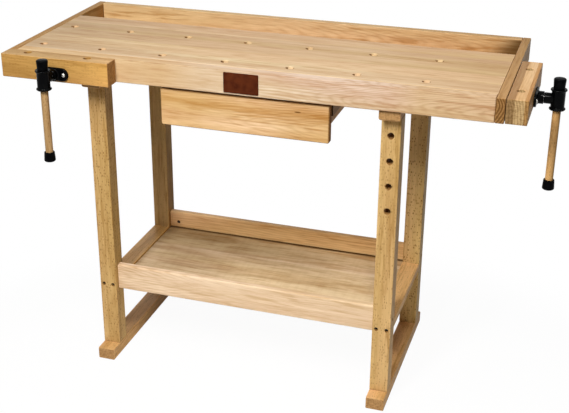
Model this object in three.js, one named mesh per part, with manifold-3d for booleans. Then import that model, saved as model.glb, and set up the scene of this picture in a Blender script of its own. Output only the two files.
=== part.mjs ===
// Woodworking bench with a front vise, an end vise, a tool well, a drawer and a low shelf.
// Millimetres, +Z up. The bench faces -Y and the end vise is at +X.
// All pieces are laid out from the top's left end, the apron's front face and the floor,
// then the whole bench is moved so that the origin is under the middle of its box.

import * as THREE from 'three';
import { ConvexGeometry } from 'three/addons/geometries/ConvexGeometry.js';
import { mergeVertices } from 'three/addons/utils/BufferGeometryUtils.js';
import Module from 'manifold-3d';

const wasm = await Module();
wasm.setup();

// Worktop
const TOP_LENGTH = 1220;
const TOP_DEPTH = 503;
const TOP_HEIGHT = 860;
const SLAB_THICKNESS = 24;
const SLAB_REAR = 341.5;
const APRON_THICKNESS = 30;
const APRON_HEIGHT = 58.5;
const END_BOARD_THICKNESS = 20;
const BACK_BOARD_THICKNESS = 22;
const WELL_RAIL_THICKNESS = 18;
const WELL_PANEL_THICKNESS = 9;
const PLATE_WIDTH = 87;
const PLATE_HEIGHT = 50;
const PLATE_THICKNESS = 1.5;

// Dog holes
const DOG_DIAMETER = 19;
const DOG_COLUMNS = 7;
const DOG_FIRST_X = 60;
const DOG_PITCH_X = 162.3;
const DOG_ROWS_Y = [65.5, 233.2];

// Stand
const LEG_WIDTH = 46.5;
const LEG_DEPTH = 43.5;
const LEFT_LEG_X = 190;
const RIGHT_LEG_X = 941.4;
const FRONT_LEG_Y = 34.3;
const REAR_LEG_Y = 397;
const FOOT_HEIGHT = 31.9;
const FOOT_FRONT = -4;
const FOOT_REAR = 473.5;
const FOOT_ROUNDING = 6;
const BEARER_OVERLAP = 1.8;
const BEARER_HEIGHT = 26.3;
const BEARER_FRONT = 8;
const BEARER_REAR = 492;
const BEARER_ROUNDING = 6;
const BEARER_EDGE_ROUNDING = 7;
const RAIL_BOTTOM = 201;
const RAIL_TOP = 223;
const PEG_HOLE_DIAMETER = 16;
const PEG_HOLE_HEIGHTS = [538, 602, 666, 730];

// Shelf
const SHELF_BOARD_THICKNESS = 18;
const SHELF_FRONT_Y = 49;
const SHELF_REAR_Y = 412;
const SHELF_BOARD_BOTTOM = 196.6;
const SHELF_BOARD_TOP = 268.5;
const SHELF_PANEL_BOTTOM = 208;
const SHELF_PANEL_TOP = 218.4;
const SHELF_GROOVE = 6;
const SHELF_GROOVE_SLACK = 2.4;

// Fasteners of the stand
const RAIL_SCREW_SPREAD = 13.2;
const RAIL_SCREW_HEIGHT = 212.5;
const RAIL_SCREW_RECESS = 10;
const SHELF_BOLT_HEIGHT = 236;
const SHELF_BOLT_RECESS = 9;
const BARREL_NUT_INSET = 25;
const BARREL_NUT_DIAMETER = 10;

// Drawer
const DRAWER_LEFT = 400;
const DRAWER_RIGHT = 823.6;
const DRAWER_FRONT_Y = 8;
const DRAWER_BOTTOM = 703;
const DRAWER_TOP = 795;
const DRAWER_FRONT_THICKNESS = 22;
const DRAWER_SIDE_THICKNESS = 12;
const DRAWER_REAR = 330;
const DRAWER_BOX_INSET = 6;
const DRAWER_BOX_BOTTOM = 739;
const DRAWER_BOX_TOP = 791;
const RUNNER_WEB = 8;
const RUNNER_LIP = 6.5;
const RUNNER_LIP_BOTTOM = 765;
const RUNNER_LIP_TOP = 773;
const RUNNER_REAR = 321;

// Vises
const SCREW_HEIGHT = 822;
const FRONT_SCREW_X = 143;
const END_SCREW_Y = 149.5;
const SCREW_RADIUS = 10.5;
const SCREW_REACH = 200;
const NUT_BOSS_RADIUS = 13.7;
const ROD_RADIUS = 8;
const ROD_SPREAD = 55;
const ROD_REACH = 195;
const ROD_SOCKET = 25;
const FRONT_JAW_LENGTH = 288;
const FRONT_JAW_THICKNESS = 44;
const FRONT_JAW_HEIGHT = 59;
const FRONT_JAW_GAP = 0.5;
const FRONT_JAW_DOG_INSET = 16.5;
const END_JAW_LENGTH = 294.5;
const END_JAW_THICKNESS = 48;
const END_JAW_HEIGHT = 57.5;
const END_JAW_GAP = 2;
const END_JAW_DOG_INSET = 24;
const FLANGE_LENGTH = 80;
const FLANGE_HEIGHT = 32.5;
const FLANGE_THICKNESS = 6;
const FLANGE_BOSS_RADIUS = 14.7;
const FLANGE_BOSS_END = 20;
const FLANGE_SCREW_SPREAD = 29.2;
const HUB_OFFSET = 51.2;
const HUB_HALF_HEIGHT = 24.8;
const HUB_RADIUS = 15.8;
const HUB_RING_RADIUS = 18.8;
const HUB_COLLAR_RADIUS = 12.8;
const HANDLE_RADIUS = 9.4;
const FRONT_HANDLE_DROP = 184.6;
const END_HANDLE_DROP = 198;
const CAP_RADIUS = 14.2;
const CAP_MOUTH_RADIUS = 12.8;
const CAP_LENGTH = 25;
const CAP_SOCKET = 17;

// General
const GAP = 0.3;
const EDGE = 1.2;
const FINE = 24;
const COARSE = 16;

const X_AXIS = new THREE.Vector3(1, 0, 0);
const Y_AXIS = new THREE.Vector3(0, 1, 0);
const Z_AXIS = new THREE.Vector3(0, 0, 1);

// Materials
const PALE_BEECH = 0xe8cba2;
const HONEY_BEECH = 0xdcae6a;
const GOLDEN_BEECH = 0xd6a04e;
const END_GRAIN = 0xb98a55;
const BLACK_ENAMEL = 0x141414;
const BLACK_PLASTIC = 0x101010;
const BRIGHT_ZINC = 0xc9cacc;
const DARK_STEEL = 0x6f7276;
const BROWN_PLATE = 0x3c140a;

function finish(color, roughness, metalness) {
  return new THREE.MeshStandardMaterial({ color, roughness, metalness });
}

function wood(color) {
  return finish(color, 0.55, 0);
}

// Solid modelling helpers
function toSolid(geometry) {
  const bare = new THREE.BufferGeometry();
  bare.setAttribute('position', geometry.attributes.position.clone());
  if (geometry.index) {
    bare.setIndex(geometry.index.clone());
  }
  const welded = mergeVertices(bare, 1e-4);
  return new wasm.Manifold(new wasm.Mesh({
    numProp: 3,
    vertProperties: new Float32Array(welded.attributes.position.array),
    triVerts: new Uint32Array(welded.index.array),
  }));
}

function fromSolid(solid) {
  const mesh = solid.getMesh();
  const geometry = new THREE.BufferGeometry();
  geometry.setAttribute('position', new THREE.BufferAttribute(new Float32Array(mesh.vertProperties), 3));
  geometry.setIndex(new THREE.BufferAttribute(new Uint32Array(mesh.triVerts), 1));
  geometry.computeVertexNormals();
  return geometry;
}

function cut(geometry, cutters) {
  let solid = toSolid(geometry);
  for (const cutter of cutters) {
    solid = solid.subtract(toSolid(cutter));
  }
  return fromSolid(solid);
}

function join(geometry, others) {
  let solid = toSolid(geometry);
  for (const other of others) {
    solid = solid.add(toSolid(other));
  }
  return fromSolid(solid);
}

// A board between two corners, with every edge eased by a small chamfer.
function board(low, high, edge = EDGE) {
  const points = [];
  for (let corner = 0; corner < 8; corner += 1) {
    for (let face = 0; face < 3; face += 1) {
      const point = [0, 1, 2].map((axis) => {
        const upper = ((corner >> axis) & 1) === 1;
        const inset = axis === face ? 0 : edge;
        return upper ? high[axis] - inset : low[axis] + inset;
      });
      points.push(new THREE.Vector3(...point));
    }
  }
  return new ConvexGeometry(points);
}

function outlineShape(points) {
  return new THREE.Shape(points.map(([a, b]) => new THREE.Vector2(a, b)));
}

function extrude(shape, length, edge) {
  const bevel = edge > 0;
  const geometry = new THREE.ExtrudeGeometry(shape, {
    depth: length - 2 * edge,
    bevelEnabled: bevel,
    bevelThickness: edge,
    bevelSize: edge,
    bevelOffset: -edge,
    bevelSegments: 1,
    curveSegments: 8,
  });
  geometry.translate(0, 0, edge);
  return geometry;
}

// A profile in Y and Z, drawn out along X.
function alongX(shape, x0, x1, edge = 0) {
  const geometry = extrude(shape, x1 - x0, edge);
  geometry.applyMatrix4(new THREE.Matrix4().makeBasis(Y_AXIS, Z_AXIS, X_AXIS));
  geometry.translate(x0, 0, 0);
  return geometry;
}

// A profile in X and Z, drawn out along Y.
function alongY(shape, y0, y1, edge = 0) {
  const geometry = extrude(shape, y1 - y0, edge);
  const back = Y_AXIS.clone().negate();
  geometry.applyMatrix4(new THREE.Matrix4().makeBasis(X_AXIS, Z_AXIS, back));
  geometry.translate(0, y1, 0);
  return geometry;
}

function barX(radius, x0, x1, y, z, sides = COARSE) {
  const geometry = new THREE.CylinderGeometry(radius, radius, x1 - x0, sides);
  geometry.rotateZ(-Math.PI / 2);
  geometry.translate((x0 + x1) / 2, y, z);
  return geometry;
}

function barY(radius, y0, y1, x, z, sides = COARSE) {
  const geometry = new THREE.CylinderGeometry(radius, radius, y1 - y0, sides);
  geometry.translate(x, (y0 + y1) / 2, z);
  return geometry;
}

function barZ(radius, z0, z1, x, y, sides = COARSE) {
  const geometry = new THREE.CylinderGeometry(radius, radius, z1 - z0, sides);
  geometry.rotateX(Math.PI / 2);
  geometry.translate(x, y, (z0 + z1) / 2);
  return geometry;
}

// What has to go from a corner at (a, b) to round it; turnA and turnB point out of the piece.
function cornerShape(a, b, turnA, turnB, radius) {
  const points = [
    [a - turnA * radius, b + turnB * 2],
    [a + turnA * 2, b + turnB * 2],
    [a + turnA * 2, b - turnB * radius],
  ];
  for (let step = 0; step <= 5; step += 1) {
    const angle = (step / 5) * Math.PI / 2;
    points.push([
      a - turnA * radius * (1 - Math.cos(angle)),
      b - turnB * radius * (1 - Math.sin(angle)),
    ]);
  }
  return outlineShape(points);
}

// A turned piece standing on its axis: pairs of radius and height, from the foot upwards.
function turned(profile, sides = FINE) {
  const geometry = new THREE.LatheGeometry(profile.map(([r, h]) => new THREE.Vector2(r, h)), sides);
  geometry.rotateX(Math.PI / 2);
  return geometry;
}

// A fastener whose head is at the origin and whose shank points along +Z.
function fastener(headRadius, headHeight, shankRadius, length) {
  const crown = headHeight * 0.35;
  return turned([
    [0, -headHeight],
    [headRadius * 0.7, -headHeight],
    [headRadius, -headHeight + crown],
    [headRadius, 0],
    [shankRadius, 0],
    [shankRadius, length - shankRadius],
    [shankRadius * 0.3, length],
    [0, length],
  ], 12);
}

function addPiece(group, name, geometry, material) {
  geometry.computeBoundingBox();
  const centre = geometry.boundingBox.getCenter(new THREE.Vector3());
  geometry.translate(-centre.x, -centre.y, -centre.z);
  const mesh = new THREE.Mesh(geometry, material);
  mesh.name = name;
  mesh.position.copy(centre);
  group.add(mesh);
  return mesh;
}

// The bench
const bench = new THREE.Group();
const slabBottom = TOP_HEIGHT - SLAB_THICKNESS;
const apronBottom = TOP_HEIGHT - APRON_HEIGHT;
const dogRadius = DOG_DIAMETER / 2;
const dogColumns = Array.from({ length: DOG_COLUMNS }, (_, i) => DOG_FIRST_X + i * DOG_PITCH_X);
const innerLeft = END_BOARD_THICKNESS + GAP;
const innerRight = TOP_LENGTH - END_BOARD_THICKNESS - GAP;

function viseBores(axis, across, from, to) {
  const bar = axis === 'x' ? barX : barY;
  return [
    bar(SCREW_RADIUS + 1, from, to, across, SCREW_HEIGHT, FINE),
    bar(ROD_RADIUS + 0.6, from, to, across - ROD_SPREAD, SCREW_HEIGHT),
    bar(ROD_RADIUS + 0.6, from, to, across + ROD_SPREAD, SCREW_HEIGHT),
  ];
}

// Worktop
const slabHoles = dogColumns.flatMap((x) => DOG_ROWS_Y.map(
  (y) => barZ(dogRadius, slabBottom - 2, TOP_HEIGHT + 2, x, y, 20),
));
const slab = board(
  [innerLeft, APRON_THICKNESS + GAP, slabBottom],
  [innerRight, SLAB_REAR, TOP_HEIGHT],
  0.6,
);
addPiece(bench, 'top_slab', cut(slab, slabHoles), wood(PALE_BEECH));

const apron = board([innerLeft, 0, apronBottom], [innerRight, APRON_THICKNESS, TOP_HEIGHT]);
const apronBores = viseBores('y', FRONT_SCREW_X, -2, APRON_THICKNESS + 2);
addPiece(bench, 'front_apron', cut(apron, apronBores), wood(PALE_BEECH));

const leftEnd = board([0, 0, apronBottom], [END_BOARD_THICKNESS, TOP_DEPTH, TOP_HEIGHT]);
addPiece(bench, 'left_end_board', leftEnd, wood(HONEY_BEECH));

const rightEnd = board(
  [TOP_LENGTH - END_BOARD_THICKNESS, 0, apronBottom],
  [TOP_LENGTH, TOP_DEPTH, TOP_HEIGHT],
);
const rightEndBores = viseBores('x', END_SCREW_Y, TOP_LENGTH - END_BOARD_THICKNESS - 2, TOP_LENGTH + 2);
addPiece(bench, 'right_end_board', cut(rightEnd, rightEndBores), wood(HONEY_BEECH));

const backBoardFront = TOP_DEPTH - BACK_BOARD_THICKNESS;
const backBoard = board([innerLeft, backBoardFront, apronBottom], [innerRight, TOP_DEPTH, TOP_HEIGHT]);
addPiece(bench, 'back_board', backBoard, wood(HONEY_BEECH));

const wellRail = board(
  [innerLeft, SLAB_REAR - WELL_RAIL_THICKNESS, apronBottom],
  [innerRight, SLAB_REAR, slabBottom - GAP],
);
addPiece(bench, 'well_rail', wellRail, wood(HONEY_BEECH));

const wellPanel = board(
  [innerLeft, SLAB_REAR + GAP, apronBottom],
  [innerRight, backBoardFront - GAP, apronBottom + WELL_PANEL_THICKNESS],
  0.6,
);
addPiece(bench, 'tool_well_bottom', wellPanel, wood(HONEY_BEECH));

const plateLeft = (TOP_LENGTH - PLATE_WIDTH) / 2;
const plateBottom = apronBottom + (APRON_HEIGHT - PLATE_HEIGHT) / 2;
const plate = board(
  [plateLeft, -GAP - PLATE_THICKNESS, plateBottom],
  [plateLeft + PLATE_WIDTH, -GAP, plateBottom + PLATE_HEIGHT],
  0.4,
);
addPiece(bench, 'name_plate', plate, finish(BROWN_PLATE, 0.45, 0));

// Stand
const legBottom = FOOT_HEIGHT + GAP;
const bearerTop = apronBottom - GAP;
const bearerBottom = bearerTop - BEARER_HEIGHT;
const legTop = bearerBottom - GAP;
const frontLegRear = FRONT_LEG_Y + LEG_DEPTH;
const rearLegRear = REAR_LEG_Y + LEG_DEPTH;
const shelfLeft = LEFT_LEG_X + LEG_WIDTH + GAP;
const shelfRight = RIGHT_LEG_X - GAP;

function footShape() {
  const r = FOOT_ROUNDING;
  const shape = new THREE.Shape();
  shape.moveTo(FOOT_FRONT, 0);
  shape.lineTo(FOOT_REAR, 0);
  shape.lineTo(FOOT_REAR, FOOT_HEIGHT - r);
  shape.quadraticCurveTo(FOOT_REAR, FOOT_HEIGHT, FOOT_REAR - r, FOOT_HEIGHT);
  shape.lineTo(FOOT_FRONT + r, FOOT_HEIGHT);
  shape.quadraticCurveTo(FOOT_FRONT, FOOT_HEIGHT, FOOT_FRONT, FOOT_HEIGHT - r);
  shape.closePath();
  return shape;
}

function bearerShape() {
  const r = BEARER_ROUNDING;
  const shape = new THREE.Shape();
  shape.moveTo(BEARER_FRONT + r, bearerBottom);
  shape.lineTo(BEARER_REAR - r, bearerBottom);
  shape.quadraticCurveTo(BEARER_REAR, bearerBottom, BEARER_REAR, bearerBottom + r);
  shape.lineTo(BEARER_REAR, bearerTop);
  shape.lineTo(BEARER_FRONT, bearerTop);
  shape.lineTo(BEARER_FRONT, bearerBottom + r);
  shape.quadraticCurveTo(BEARER_FRONT, bearerBottom, BEARER_FRONT + r, bearerBottom);
  shape.closePath();
  return shape;
}

const frontBoltY = SHELF_FRONT_Y + SHELF_BOARD_THICKNESS / 2;
const rearBoltY = SHELF_REAR_Y + SHELF_BOARD_THICKNESS / 2;
const boltShank = 3.6;
const boltBore = 4.2;
const boltHead = 5.2;
const boltCounterbore = 5.8;

// Bores through a leg for the two rail screws, entered from the leg's front face.
function railScrewBores(legX) {
  const middle = legX + LEG_WIDTH / 2;
  return [-RAIL_SCREW_SPREAD, RAIL_SCREW_SPREAD].flatMap((offset) => [
    barY(5.2, FRONT_LEG_Y - 2, FRONT_LEG_Y + RAIL_SCREW_RECESS, middle + offset, RAIL_SCREW_HEIGHT),
    barY(3.2, FRONT_LEG_Y - 2, frontLegRear + 2, middle + offset, RAIL_SCREW_HEIGHT),
  ]);
}

// Bore through a leg for a shelf bolt, widened at the leg's outer face so that the head lies sunk.
function shelfBoltBores(side, legX, y) {
  const right = legX + LEG_WIDTH;
  const sunk = side === 'left'
    ? barX(boltCounterbore, legX - 2, legX + SHELF_BOLT_RECESS, y, SHELF_BOLT_HEIGHT)
    : barX(boltCounterbore, right - SHELF_BOLT_RECESS, right + 2, y, SHELF_BOLT_HEIGHT);
  return [sunk, barX(boltBore, legX - 2, right + 2, y, SHELF_BOLT_HEIGHT)];
}

function addTrestle(side, legX, pegHoles) {
  const right = legX + LEG_WIDTH;
  const middle = legX + LEG_WIDTH / 2;
  addPiece(bench, `${side}_foot`, alongX(footShape(), legX, right, EDGE), wood(HONEY_BEECH));
  const bearerLeft = legX - BEARER_OVERLAP;
  const bearerRight = right + BEARER_OVERLAP;
  const bearer = alongX(bearerShape(), bearerLeft, bearerRight);
  const bearerCutters = [[bearerLeft, -1], [bearerRight, 1]].map(([x, outwards]) => alongY(
    cornerShape(x, bearerBottom, outwards, -1, BEARER_EDGE_ROUNDING), BEARER_FRONT - 5, BEARER_REAR + 5,
  ));
  addPiece(bench, `${side}_bearer`, cut(bearer, bearerCutters), wood(HONEY_BEECH));

  const frontCutters = [...railScrewBores(legX), ...shelfBoltBores(side, legX, frontBoltY)];
  for (const height of pegHoles) {
    frontCutters.push(barY(PEG_HOLE_DIAMETER / 2, FRONT_LEG_Y - 2, frontLegRear + 2, middle, height, 20));
  }
  const frontLeg = board([legX, FRONT_LEG_Y, legBottom], [right, frontLegRear, legTop]);
  addPiece(bench, `front_${side}_leg`, cut(frontLeg, frontCutters), wood(HONEY_BEECH));

  const rearLeg = board([legX, REAR_LEG_Y, legBottom], [right, rearLegRear, legTop]);
  const rearCutters = shelfBoltBores(side, legX, rearBoltY);
  addPiece(bench, `rear_${side}_leg`, cut(rearLeg, rearCutters), wood(HONEY_BEECH));

  const rail = board([legX, frontLegRear + GAP, RAIL_BOTTOM], [right, REAR_LEG_Y - GAP, RAIL_TOP]);
  const railBores = [-RAIL_SCREW_SPREAD, RAIL_SCREW_SPREAD].map((offset) => barY(
    3.2, frontLegRear - 2, frontLegRear + 36, middle + offset, RAIL_SCREW_HEIGHT,
  ));
  addPiece(bench, `${side}_end_rail`, cut(rail, railBores), wood(HONEY_BEECH));

  for (const [where, offset] of [['left', -RAIL_SCREW_SPREAD], ['right', RAIL_SCREW_SPREAD]]) {
    const screw = fastener(4.6, 4, 2.7, 66);
    screw.rotateX(-Math.PI / 2);
    screw.translate(middle + offset, FRONT_LEG_Y + RAIL_SCREW_RECESS - GAP, RAIL_SCREW_HEIGHT);
    addPiece(bench, `${side}_rail_screw_${where}`, screw, finish(DARK_STEEL, 0.4, 1));
  }

  const outward = side === 'left' ? -1 : 1;
  const outerFace = side === 'left' ? legX : right;
  const seat = outerFace - outward * (SHELF_BOLT_RECESS - GAP);
  for (const [where, y] of [['front', frontBoltY], ['rear', rearBoltY]]) {
    const bolt = fastener(boltHead, 4, boltShank, LEG_WIDTH + 18 - SHELF_BOLT_RECESS);
    bolt.rotateY(-outward * Math.PI / 2);
    bolt.translate(seat, y, SHELF_BOLT_HEIGHT);
    addPiece(bench, `${side}_shelf_bolt_${where}`, bolt, finish(DARK_STEEL, 0.4, 1));
  }
}

addTrestle('left', LEFT_LEG_X, []);
addTrestle('right', RIGHT_LEG_X, PEG_HOLE_HEIGHTS);

// Shelf: two boards with a groove in which the panel lies loosely, eased along their long edges.
function shelfBoardShape(outerY, innerY) {
  const inward = Math.sign(innerY - outerY);
  const e = 3;
  const points = [
    [outerY + inward * e, SHELF_BOARD_BOTTOM],
    [innerY - inward * e, SHELF_BOARD_BOTTOM],
    [innerY, SHELF_BOARD_BOTTOM + e],
    [innerY, SHELF_PANEL_BOTTOM - GAP],
    [innerY - inward * SHELF_GROOVE, SHELF_PANEL_BOTTOM - GAP],
    [innerY - inward * SHELF_GROOVE, SHELF_PANEL_TOP + SHELF_GROOVE_SLACK],
    [innerY, SHELF_PANEL_TOP + SHELF_GROOVE_SLACK],
    [innerY, SHELF_BOARD_TOP - e],
    [innerY - inward * e, SHELF_BOARD_TOP],
    [outerY + inward * e, SHELF_BOARD_TOP],
    [outerY, SHELF_BOARD_TOP - e],
    [outerY, SHELF_BOARD_BOTTOM + e],
  ];
  return outlineShape(inward > 0 ? points : points.reverse());
}

function shelfBoardBores(boltY, innerY) {
  const inside = innerY > boltY ? 1 : -1;
  const nutFrom = Math.min(boltY - inside * 4, innerY + inside * 2);
  const nutTo = Math.max(boltY - inside * 4, innerY + inside * 2);
  const nutLeft = shelfLeft + BARREL_NUT_INSET;
  const nutRight = shelfRight - BARREL_NUT_INSET;
  return [
    barX(boltBore, shelfLeft - 2, nutLeft, boltY, SHELF_BOLT_HEIGHT),
    barX(boltBore, nutRight, shelfRight + 2, boltY, SHELF_BOLT_HEIGHT),
    barY(BARREL_NUT_DIAMETER / 2, nutFrom, nutTo, nutLeft, SHELF_BOLT_HEIGHT),
    barY(BARREL_NUT_DIAMETER / 2, nutFrom, nutTo, nutRight, SHELF_BOLT_HEIGHT),
  ];
}

const shelfFrontInner = SHELF_FRONT_Y + SHELF_BOARD_THICKNESS;
const shelfFront = alongX(shelfBoardShape(SHELF_FRONT_Y, shelfFrontInner), shelfLeft, shelfRight);
addPiece(
  bench,
  'shelf_front_board',
  cut(shelfFront, shelfBoardBores(frontBoltY, shelfFrontInner)),
  wood(HONEY_BEECH),
);
const shelfRearOuter = SHELF_REAR_Y + SHELF_BOARD_THICKNESS;
const shelfRear = alongX(shelfBoardShape(shelfRearOuter, SHELF_REAR_Y), shelfLeft, shelfRight);
addPiece(
  bench,
  'shelf_back_board',
  cut(shelfRear, shelfBoardBores(rearBoltY, SHELF_REAR_Y)),
  wood(HONEY_BEECH),
);
const shelfPanel = board(
  [shelfLeft, shelfFrontInner - SHELF_GROOVE + GAP, SHELF_PANEL_BOTTOM],
  [shelfRight, SHELF_REAR_Y + SHELF_GROOVE - GAP, SHELF_PANEL_TOP],
  0.6,
);
addPiece(bench, 'shelf_panel', shelfPanel, wood(PALE_BEECH));

// Drawer: a box hung by a groove in each side on the lips of two runners under the slab.
const drawerFront = board(
  [DRAWER_LEFT, DRAWER_FRONT_Y, DRAWER_BOTTOM],
  [DRAWER_RIGHT, DRAWER_FRONT_Y + DRAWER_FRONT_THICKNESS, DRAWER_TOP],
  2,
);
addPiece(bench, 'drawer_front', drawerFront, wood(GOLDEN_BEECH));

const boxFront = DRAWER_FRONT_Y + DRAWER_FRONT_THICKNESS + GAP;
const boxLeft = DRAWER_LEFT + DRAWER_BOX_INSET;
const boxRight = DRAWER_RIGHT - DRAWER_BOX_INSET;
const panelBottom = DRAWER_BOX_BOTTOM + 7;
const panelTop = panelBottom + 5;
const panelGroove = 4;

function drawerSideShape(outer, inner) {
  const inward = Math.sign(inner - outer);
  const runnerGroove = outer + inward * (RUNNER_LIP - 1 + GAP + 0.7);
  const points = [
    [outer, DRAWER_BOX_BOTTOM],
    [inner, DRAWER_BOX_BOTTOM],
    [inner, panelBottom - GAP],
    [inner - inward * panelGroove, panelBottom - GAP],
    [inner - inward * panelGroove, panelTop + GAP],
    [inner, panelTop + GAP],
    [inner, DRAWER_BOX_TOP],
    [outer, DRAWER_BOX_TOP],
    [outer, RUNNER_LIP_TOP + GAP],
    [runnerGroove, RUNNER_LIP_TOP + GAP],
    [runnerGroove, RUNNER_LIP_BOTTOM - 0.8],
    [outer, RUNNER_LIP_BOTTOM - 0.8],
  ];
  return outlineShape(inward > 0 ? points : points.reverse());
}

const sideInnerLeft = boxLeft + DRAWER_SIDE_THICKNESS;
const sideInnerRight = boxRight - DRAWER_SIDE_THICKNESS;
const drawerLeftSide = alongY(drawerSideShape(boxLeft, sideInnerLeft), boxFront, DRAWER_REAR);
addPiece(bench, 'drawer_left_side', drawerLeftSide, wood(HONEY_BEECH));
const drawerRightSide = alongY(drawerSideShape(boxRight, sideInnerRight), boxFront, DRAWER_REAR);
addPiece(bench, 'drawer_right_side', drawerRightSide, wood(HONEY_BEECH));

const drawerBack = board(
  [sideInnerLeft + GAP, DRAWER_REAR - 14, panelTop + GAP],
  [sideInnerRight - GAP, DRAWER_REAR - 2, DRAWER_BOX_TOP],
);
addPiece(bench, 'drawer_back', drawerBack, wood(HONEY_BEECH));

const drawerPanel = board(
  [sideInnerLeft - panelGroove + GAP, boxFront, panelBottom],
  [sideInnerRight + panelGroove - GAP, DRAWER_REAR, panelTop],
  0.4,
);
addPiece(bench, 'drawer_bottom', drawerPanel, wood(PALE_BEECH));

function runnerShape(webOuter, inward) {
  const webInner = webOuter + inward * RUNNER_WEB;
  const lipEnd = webInner + inward * RUNNER_LIP;
  const points = [
    [webOuter, RUNNER_LIP_BOTTOM],
    [lipEnd, RUNNER_LIP_BOTTOM],
    [lipEnd, RUNNER_LIP_TOP],
    [webInner, RUNNER_LIP_TOP],
    [webInner, slabBottom - GAP],
    [webOuter, slabBottom - GAP],
  ];
  return outlineShape(inward > 0 ? points : points.reverse());
}

const runnerFront = APRON_THICKNESS + GAP;
const leftRunnerOuter = boxLeft - 1 - RUNNER_WEB;
const rightRunnerOuter = boxRight + 1 + RUNNER_WEB;
const leftRunner = alongY(runnerShape(leftRunnerOuter, 1), runnerFront, RUNNER_REAR);
addPiece(bench, 'left_drawer_runner', leftRunner, wood(HONEY_BEECH));
const rightRunner = alongY(runnerShape(rightRunnerOuter, -1), runnerFront, RUNNER_REAR);
addPiece(bench, 'right_drawer_runner', rightRunner, wood(HONEY_BEECH));

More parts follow.
